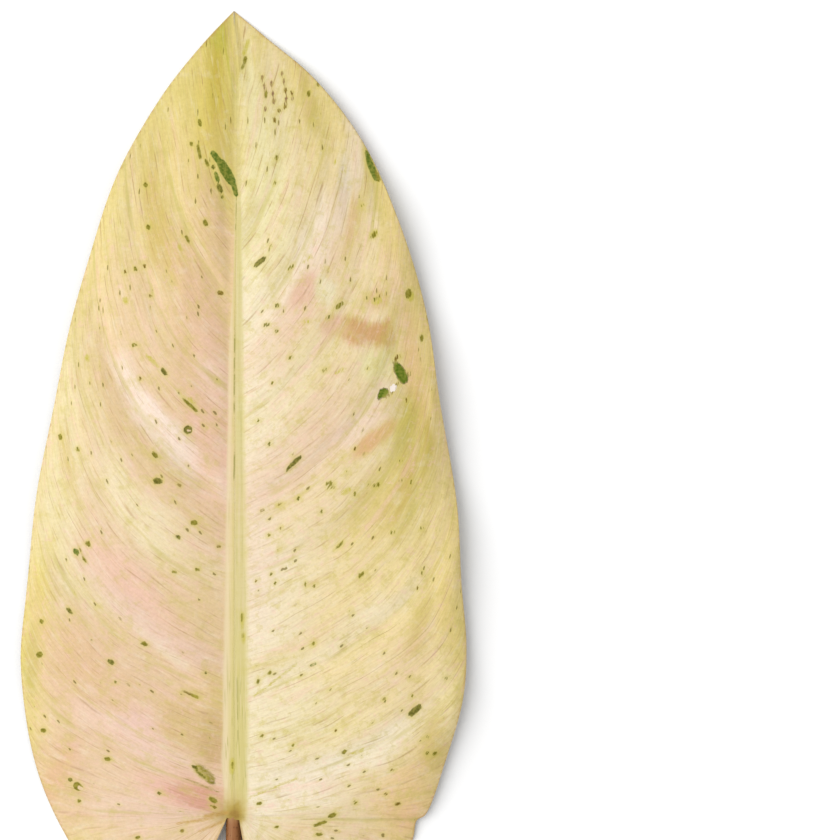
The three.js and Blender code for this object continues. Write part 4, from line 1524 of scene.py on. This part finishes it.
@dataclass(frozen=True)
class CutFace:
    """The cut end of the stalk: moist pale pith with darker bundles, in a brown skin.

    Attributes:
        radius: Radius of the face.
        centre: Place of its middle, in millimetres in the frame.
    """

    radius: float
    centre: Vector
    pith: Colour = (214, 200, 142)
    damp_pith: Colour = (190, 168, 110)
    bundle: Colour = (160, 140, 78)
    skin: Colour = (128, 84, 48)

    def material(self) -> bpy.types.Material:
        """Builds the material."""
        g = Graph("stalk_cut_face")
        x, _, z = g.place()
        u, v = x - self.centre.x, z - self.centre.z
        reach = ((u * u + v * v) ** 0.5) / self.radius
        distance, _ = g.cells(g.vector(u * 2.0, v * 2.0))
        bundles = distance.rise(0.34, 0.2) * reach.rise(0.95, 0.8)
        damp = g.noise(g.vector(u * 1.5, v * 1.5), detail=3.0)
        face = g.mix(self.pith, self.damp_pith, damp.rise(0.45, 0.7) * 0.6)
        face = g.mix(face, self.bundle, bundles * 0.8)
        face = g.mix(face, self.skin, reach.rise(0.84, 0.93))
        g.put(g.shader, "Normal", g.bump(damp * 0.12 - bundles * 0.05))
        return g.finish(face, 0.36 + (damp - 0.5) * 0.2, IOR=1.4)


@dataclass(frozen=True)
class TableTop:
    """The plain matt white table."""

    white: tuple[float, float, float, float] = (1, 1, 1, 1)
    roughness: float = 0.9

    def material(self) -> bpy.types.Material:
        """Builds the material."""
        g = Graph("table_white")
        g.shader.inputs["Base Color"].default_value = self.white
        g.shader.inputs["Roughness"].default_value = self.roughness
        g.shader.inputs["Specular IOR Level"].default_value = 0.0
        return g.material


# Geometry Nodes


@dataclass
class NodeSweep:
    """Sweeps a section along every path of a mesh of plain edges, with Geometry Nodes.

    The path's vertices hold the section's radius in the attribute girth and the way along the path in
    the attribute way. The section can have a groove on its upper side, and the end can be cut aslant.

    Attributes:
        name: Name of the node tree.
        sides: Number of sides of the section.
        groove: Depth of the groove, as a share of the radius.
        groove_narrowness: How narrow the groove is; more is narrower.
        slant: How far the cut end leans, in metres along for a metre up.
        cut_way: The way along the path past which the cut leans.
    """

    name: str
    sides: int = 12
    groove: float = 0.0
    groove_narrowness: float = 6.0
    slant: float = 0.0
    cut_way: float = 1e6

    def _tree(self) -> bpy.types.GeometryNodeTree:
        """Builds the node tree with its named inputs."""
        tree = bpy.data.node_groups.new(self.name, "GeometryNodeTree")
        face = tree.interface
        face.new_socket("Geometry", in_out="OUTPUT", socket_type="NodeSocketGeometry")
        face.new_socket("Geometry", in_out="INPUT", socket_type="NodeSocketGeometry")
        for label, kind in (
            ("Sides", "Int"), ("Groove", "Float"), ("Groove Narrowness", "Float"),
            ("Slant", "Float"), ("Cut Way", "Float"), ("Finish", "Material"),
        ):
            face.new_socket(label, in_out="INPUT", socket_type=f"NodeSocket{kind}")
        add, link = tree.nodes.new, tree.links.new
        given, result = add("NodeGroupInput"), add("NodeGroupOutput")

        def math_node(operation: str, *values: Any) -> bpy.types.NodeSocket:
            """One Math node on sockets or numbers."""
            node = add("ShaderNodeMath")
            node.operation = operation
            for k, value in enumerate(values):
                if isinstance(value, bpy.types.NodeSocket):
                    link(value, node.inputs[k])
                else:
                    node.inputs[k].default_value = value
            return node.outputs[0]

        def named(label: str) -> bpy.types.NodeSocket:
            """A float attribute by its name."""
            node = add("GeometryNodeInputNamedAttribute")
            node.data_type = "FLOAT"
            node.inputs["Name"].default_value = label
            return node.outputs["Attribute"]

        path = add("GeometryNodeMeshToCurve")
        link(given.outputs["Geometry"], path.inputs["Mesh"])
        upright = add("GeometryNodeSetCurveNormal")
        upright.mode = "Z_UP"
        link(path.outputs["Curve"], upright.inputs["Curve"])
        round_section = add("GeometryNodeCurvePrimitiveCircle")
        round_section.mode = "RADIUS"
        round_section.inputs["Radius"].default_value = 1.0
        link(given.outputs["Sides"], round_section.inputs["Resolution"])

        place = add("ShaderNodeSeparateXYZ")
        link(add("GeometryNodeInputPosition").outputs[0], place.inputs[0])
        upper = math_node("MAXIMUM", place.outputs["X"], 0.0)
        dip = math_node("POWER", upper, given.outputs["Groove Narrowness"])
        dip = math_node("MULTIPLY", math_node("MULTIPLY", dip, given.outputs["Groove"]), -1.0)
        sink = add("ShaderNodeCombineXYZ")
        link(dip, sink.inputs["X"])
        grooved = add("GeometryNodeSetPosition")
        link(round_section.outputs["Curve"], grooved.inputs["Geometry"])
        link(sink.outputs[0], grooved.inputs["Offset"])

        sweep = add("GeometryNodeCurveToMesh")
        sweep.inputs["Fill Caps"].default_value = True
        link(grooved.outputs["Geometry"], sweep.inputs["Profile Curve"])
        link(upright.outputs[0], sweep.inputs["Curve"])
        link(named("girth"), sweep.inputs["Scale"])

        at = add("ShaderNodeSeparateXYZ")
        link(add("GeometryNodeInputPosition").outputs[0], at.inputs[0])
        past = math_node("GREATER_THAN", named("way"), given.outputs["Cut Way"])
        lean = math_node("MULTIPLY", at.outputs["Z"], given.outputs["Slant"])
        shift = add("ShaderNodeCombineXYZ")
        link(math_node("MULTIPLY", lean, past), shift.inputs["Y"])
        slanted = add("GeometryNodeSetPosition")
        link(sweep.outputs["Mesh"], slanted.inputs["Geometry"])
        link(shift.outputs[0], slanted.inputs["Offset"])
        real = add("GeometryNodeRealizeInstances")
        link(slanted.outputs["Geometry"], real.inputs["Geometry"])
        dressed = add("GeometryNodeSetMaterial")
        link(real.outputs["Geometry"], dressed.inputs["Geometry"])
        link(given.outputs["Finish"], dressed.inputs["Material"])
        link(dressed.outputs["Geometry"], result.inputs["Geometry"])
        return tree

    def sweep(
        self, name: str, paths: Sequence[Array], girths: Sequence[Array], ways: Sequence[Array],
        finish: bpy.types.Material,
    ) -> bpy.types.Object:
        """Sweeps the section along the paths into one plain mesh.

        Args:
            name: Name of the piece.
            paths: The points of each path, in metres.
            girths: The radius at each point, in metres.
            ways: The way along at each point.
            finish: The piece's material.

        Returns:
            The piece.
        """
        mesh = bpy.data.meshes.new(f"{name}_paths")
        counts = [len(path) for path in paths]
        starts = np.concatenate([[0], np.cumsum(counts)[:-1]])
        edges = [(s + k, s + k + 1) for s, n in zip(starts, counts) for k in range(n - 1)]
        mesh.from_pydata(np.vstack(paths).tolist(), [tuple(map(int, e)) for e in edges], [])
        for label, values in (("girth", girths), ("way", ways)):
            attribute = mesh.attributes.new(label, "FLOAT", "POINT")
            attribute.data.foreach_set("value", np.concatenate(values).astype(np.float32))
        line = bpy.data.objects.new(f"{name}_line", mesh)
        bpy.context.scene.collection.objects.link(line)
        modifier = line.modifiers.new("sweep", "NODES")
        modifier.node_group = self._tree()
        given = {
            "Sides": self.sides, "Groove": self.groove, "Groove Narrowness": self.groove_narrowness,
            "Slant": self.slant, "Cut Way": self.cut_way, "Finish": finish,
        }
        for item in modifier.node_group.interface.items_tree:
            if item.in_out == "INPUT" and item.name in given:
                modifier[item.identifier] = given[item.name]
        depsgraph = bpy.context.evaluated_depsgraph_get()
        plain = bpy.data.meshes.new_from_object(line.evaluated_get(depsgraph), depsgraph=depsgraph)
        plain.name = name
        bpy.data.objects.remove(line)
        plain.polygons.foreach_set("use_smooth", np.ones(len(plain.polygons), bool))
        piece = bpy.data.objects.new(name, plain)
        bpy.context.scene.collection.objects.link(piece)
        return piece


@dataclass
class SideVeins:
    """The main side veins, which stand out on the underside as tapered ridges."""

    plan: LeafPlan
    relief: LeafRelief
    blade: Blade
    thickest: float = 0.62
    thinnest: float = 0.14
    small_share: float = 0.6
    sunk: float = 0.55
    head_sink: float = 1.3
    reach: float = 0.94
    taper_power: float = 0.7
    steps: int = 60
    search_steps: int = 4000

    def build(self, shift: Vector) -> bpy.types.Object:
        """Sweeps the ridges.

        Args:
            shift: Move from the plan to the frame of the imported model, in millimetres.

        Returns:
            The piece.
        """
        paths, girths, ways = [], [], []
        shares = np.linspace(0, 1, self.search_steps)
        roots = self.plan.root_along(shares)
        for side in Side:
            main = [(root, 1.0) for root, _ in self.relief.valleys(side)]
            places = [root for root, _ in main]
            small = [((a + b) / 2, self.small_share) for a, b in zip(places, places[1:])]
            for root, size in main + small:
                share = float(np.interp(root, roots, shares))
                t = np.linspace(0.0, self.reach, self.steps)
                x, y = self.plan.points(side, np.full_like(t, share), t)
                z = self.relief.height(side, np.full_like(t, share), t, y)
                z = np.maximum(z, self.blade.solid_thickness / 2 + self.blade.clearance)
                girth = size * lerp(self.thickest, self.thinnest, t**self.taper_power)
                under = z - self.blade.solid_thickness / 2 - girth * (1 - self.sunk)
                under = under - self.blade.hollow(x, y) * self.head_sink
                under = np.maximum(under, girth + self.blade.clearance)
                points = np.column_stack([x, y, under])
                if root > 0:
                    middle = float(self.plan.midrib_drift(root))
                    inward = abs(x[0] - middle)
                    points = np.vstack([[middle, y[0] - inward / 2, under[0]], points])
                    girth, t = np.append(girth[0], girth), np.append(0.0, t)
                paths.append((points + np.array(shift)) * MM)
                girths.append(girth * MM)
                ways.append(t)
        sweep = NodeSweep("side_vein_sweep", sides=8)
        return sweep.sweep("side_vein_ridges", paths, girths, ways, VeinSkin().material())


@dataclass
class Stalk:
    """The leaf's stalk, from under the head of the midrib down to the table and along it."""

    plan: LeafPlan
    relief: LeafRelief
    solid_thickness: float = 0.85
    length: float = 78
    head_x: float = -0.3
    radius_at_head: float = 2.05
    radius_at_cut: float = 2.35
    sinks: float = 0.35
    lands_at: float = 22
    swing: float = 4.5
    groove: float = 0.16
    groove_narrowness: float = 6.0
    gap: float = 0.9
    slant: float = 0.35
    cut_tolerance: float = 0.01
    tucked_in: float = 3.8
    narrows_from: float = -0.4
    head_taper: float = 0.72
    knot_height: float = 0.05
    knot_spacing: float = 6
    face_rings: int = 7
    face_inset: float = 0.985
    face_proud: float = 0.012
    face_crown: float = 0.05
    face_middle: float = 0.06
    steps: int = 120
    sides: int = 40

    def _end(self) -> float:
        """Way along of the middle line's end, from which the slant moves the cut back."""
        return self.length + self.slant * self.radius_at_cut

    def _line(self) -> tuple[Array, Array, Array]:
        """Points, radii and way along of the stalk's middle line."""
        along = np.linspace(-self.tucked_in, self._end(), self.steps + 1)
        f = np.clip(along / self.length, 0, 1)
        radius = lerp(self.radius_at_head, self.radius_at_cut, f)
        knots = self.knot_height * value_noise(along / self.knot_spacing, np.zeros_like(along), 3)
        narrowing = smoothstep(-along, self.narrows_from, self.tucked_in)
        radius = (radius + knots) * lerp(1, self.head_taper, narrowing)
        head_y = self.plan.head_at - self.plan.head_drop - self.gap
        blade_top = float(self.relief.spine(0.0)) + self.solid_thickness / 2
        head_z = blade_top - self.radius_at_head - self.sinks
        z = lerp(head_z, radius, smootherstep(along, 0, self.lands_at))
        x = self.head_x + self.swing * f * f
        return np.column_stack([x, head_y - along, z]), radius, along

    def build(self, shift: Vector) -> list[bpy.types.Object]:
        """Sweeps the stalk and closes its cut end.

        Args:
            shift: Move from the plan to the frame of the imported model, in millimetres.

        Returns:
            The stalk and its cut face.
        """
        points, radius, along = self._line()
        points = points + np.array(shift)
        cut_way = self._end() - self.cut_tolerance
        sweep = NodeSweep(
            "stalk_sweep", self.sides, self.groove, self.groove_narrowness, self.slant, cut_way
        )
        skin = StalkSkin().material()
        stalk = sweep.sweep("leaf_stalk", [points * MM], [radius * MM], [along], skin)
        return [stalk, self._cut_face(Vector(points[-1]), float(radius[-1]))]

    def _cut_face(self, centre: Vector, radius: float) -> bpy.types.Object:
        """A slightly uneven disc over the slanted end."""
        rings, spokes = self.face_rings, self.sides
        vertices = [[centre.x, centre.y + self.slant * centre.z - self.face_middle, centre.z]]
        for ring in range(1, rings + 1):
            reach = radius * self.face_inset * ring / rings
            for k in range(spokes):
                turn = 2 * math.pi * k / spokes
                up = math.sin(turn)
                dip = self.groove * max(0.0, up) ** self.groove_narrowness
                z = centre.z + reach * (up - dip)
                x = centre.x + reach * math.cos(turn)
                crown = self.face_crown * (1 - (ring / rings) ** 2) + self.face_proud
                vertices.append([x, centre.y + self.slant * z - crown, z])
        faces = [[0, 1 + k, 1 + (k + 1) % spokes] for k in range(spokes)]
        for ring in range(rings - 1):
            a, b = 1 + ring * spokes, 1 + (ring + 1) * spokes
            for k in range(spokes):
                n = (k + 1) % spokes
                faces.append([a + k, b + k, b + n, a + n])
        obj = make_object("stalk_cut_face", np.array(vertices) * MM, faces)
        obj.data.materials.append(CutFace(radius, centre).material())
        return obj


# The studio


@dataclass
class Studio:
    """The white table, the soft light from the left, and the camera straight above."""

    sight: Sight = Sight()
    lens: float = 100
    sensor: float = 36
    table_size: float = 3.0
    table_drop: float = 2e-5
    fill: float = 0.66
    key_power: float = 10.8
    key_at: tuple[float, float, float] = (-0.68, 0.2, 1.0)
    key_size: tuple[float, float] = (1.15, 1.3)

    def build(self, shift: Vector) -> None:
        """Sets up the table, the light and the camera.

        Args:
            shift: Move from the plan to the frame, in millimetres.
        """
        half = self.table_size / 2
        corners = [(-half, -half), (half, -half), (half, half), (-half, half)]
        vertices = np.array([(x, y, -self.table_drop) for x, y in corners])
        table = make_object("table", vertices, [[0, 1, 2, 3]])
        table.data.materials.append(TableTop().material())
        self._light()
        self._camera(shift)

    def _light(self) -> None:
        """Adds the large soft light and the even fill."""
        light = bpy.data.lights.new("soft_key", "AREA")
        light.shape = "RECTANGLE"
        light.size, light.size_y = self.key_size
        light.energy = self.key_power
        key = bpy.data.objects.new("soft_key", light)
        key.location = self.key_at
        key.rotation_euler = (-Vector(self.key_at)).to_track_quat("-Z", "Y").to_euler()
        bpy.context.scene.collection.objects.link(key)
        world = bpy.data.worlds.new("even_fill")
        world.use_nodes = True
        backdrop = world.node_tree.nodes["Background"]
        backdrop.inputs["Color"].default_value = (1, 1, 1, 1)
        backdrop.inputs["Strength"].default_value = self.fill
        bpy.context.scene.world = world
        bpy.context.scene.view_settings.view_transform = "Standard"

    def _camera(self, shift: Vector) -> None:
        """Hangs the camera over the leaf, looking straight down."""
        data = bpy.data.cameras.new("camera")
        data.lens, data.sensor_width = self.lens, self.sensor
        data.clip_start, data.clip_end = 0.01, 20
        camera = bpy.data.objects.new("camera", data)
        camera.location = (Vector((self.sight.x, self.sight.y, self.sight.height)) + shift) * MM
        bpy.context.scene.collection.objects.link(camera)
        bpy.context.scene.camera = camera


@dataclass
class PhilodendronLeaf:
    """The whole leaf: blade, side veins, stalk and cut face, all on the one body."""

    plan: LeafPlan = field(default_factory=LeafPlan)
    body: str = "root"
    right_order: float = 500.0

    def __post_init__(self) -> None:
        """Makes the parts from the plan."""
        self.relief = LeafRelief(self.plan)
        self.blade = Blade(self.plan, self.relief)
        self.side_veins = SideVeins(self.plan, self.relief, self.blade)
        self.stalk = Stalk(self.plan, self.relief, self.blade.solid_thickness)

    def shift(self) -> Vector:
        """Move from the plan to the frame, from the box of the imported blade, in millimetres."""
        low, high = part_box("blade")
        xs, ys = zip(*[m.points.T for m in self.plan.margins.values()])
        low_x, high_x = min(map(np.min, xs)), max(map(np.max, xs))
        low_y, high_y = min(map(np.min, ys)), max(map(np.max, ys))
        move_x = (low.x + high.x) / MM / 2 - (low_x + high_x) / 2
        return Vector((move_x, (low.y + high.y) / MM / 2 - (low_y + high_y) / 2, 0.0))

    def build(self) -> list[bpy.types.Object]:
        """Builds and dresses every piece.

        Returns:
            The pieces.
        """
        shift = self.shift()
        LOG.info("plan moved by %.3f, %.3f mm", shift.x, shift.y)
        blade, sheet = self.blade.mesh(shift)
        self._paint(blade, sheet, shift)
        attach(blade, self.body)
        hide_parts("blade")
        ridges = self.side_veins.build(shift)
        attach(ridges, self.body)
        stalk, face = self.stalk.build(shift)
        for piece in (stalk, face):
            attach(piece, self.body)
        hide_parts("petiole")
        return [blade, ridges, stalk, face]

    def _paint(self, blade: bpy.types.Object, sheet: BladeSheet, shift: Vector) -> None:
        """Paints the blade's upper skin and gives it its materials."""
        painter = Painter(self.plan, sheet)
        mesh = blade.data
        to_margin = self.blade.margin_distance(sheet.x, sheet.y)
        order = sheet.order + np.where(sheet.side > 0, self.right_order, 0.0)
        store(mesh, "tint", "FLOAT_COLOR", painter.tint(), 0.6)
        store(mesh, "veins", "FLOAT_VECTOR", np.stack([sheet.along, order, to_margin], axis=-1), 0.0)
        store(mesh, "across", "FLOAT", sheet.across, 1.0)
        store(mesh, "to_head", "FLOAT", painter.head_distance(), painter.far)
        groups = {"smear": SMEARS, "tear": TEAR, "fleck": FLECKS, "pale": PALE_SPOTS}
        for name, flecks in groups.items():
            edge, ink = painter.marks(flecks)
            store(mesh, f"{name}_edge", "FLOAT", edge, painter.far)
            store(mesh, f"{name}_ink", "FLOAT_COLOR", ink, 0.0)
        store(mesh, "freckle", "FLOAT", painter.freckles(), 0.0)
        valley = painter.valley_distance(self.blade, self.relief)
        store(mesh, "to_valley", "FLOAT", valley, painter.far)
        mesh.materials.append(UpperSkin((shift.x, shift.y)).material())
        mesh.materials.append(LowerSkin().material())


def main() -> None:
    """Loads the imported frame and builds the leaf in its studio."""
    logging.basicConfig(level=logging.INFO, format="%(name)s: %(message)s")
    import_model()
    leaf = PhilodendronLeaf()
    Studio().build(leaf.shift())
    for piece in leaf.build():
        LOG.info("%s: %d faces", piece.name, len(piece.data.polygons))
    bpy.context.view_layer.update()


if __name__ == "__main__":
    main()
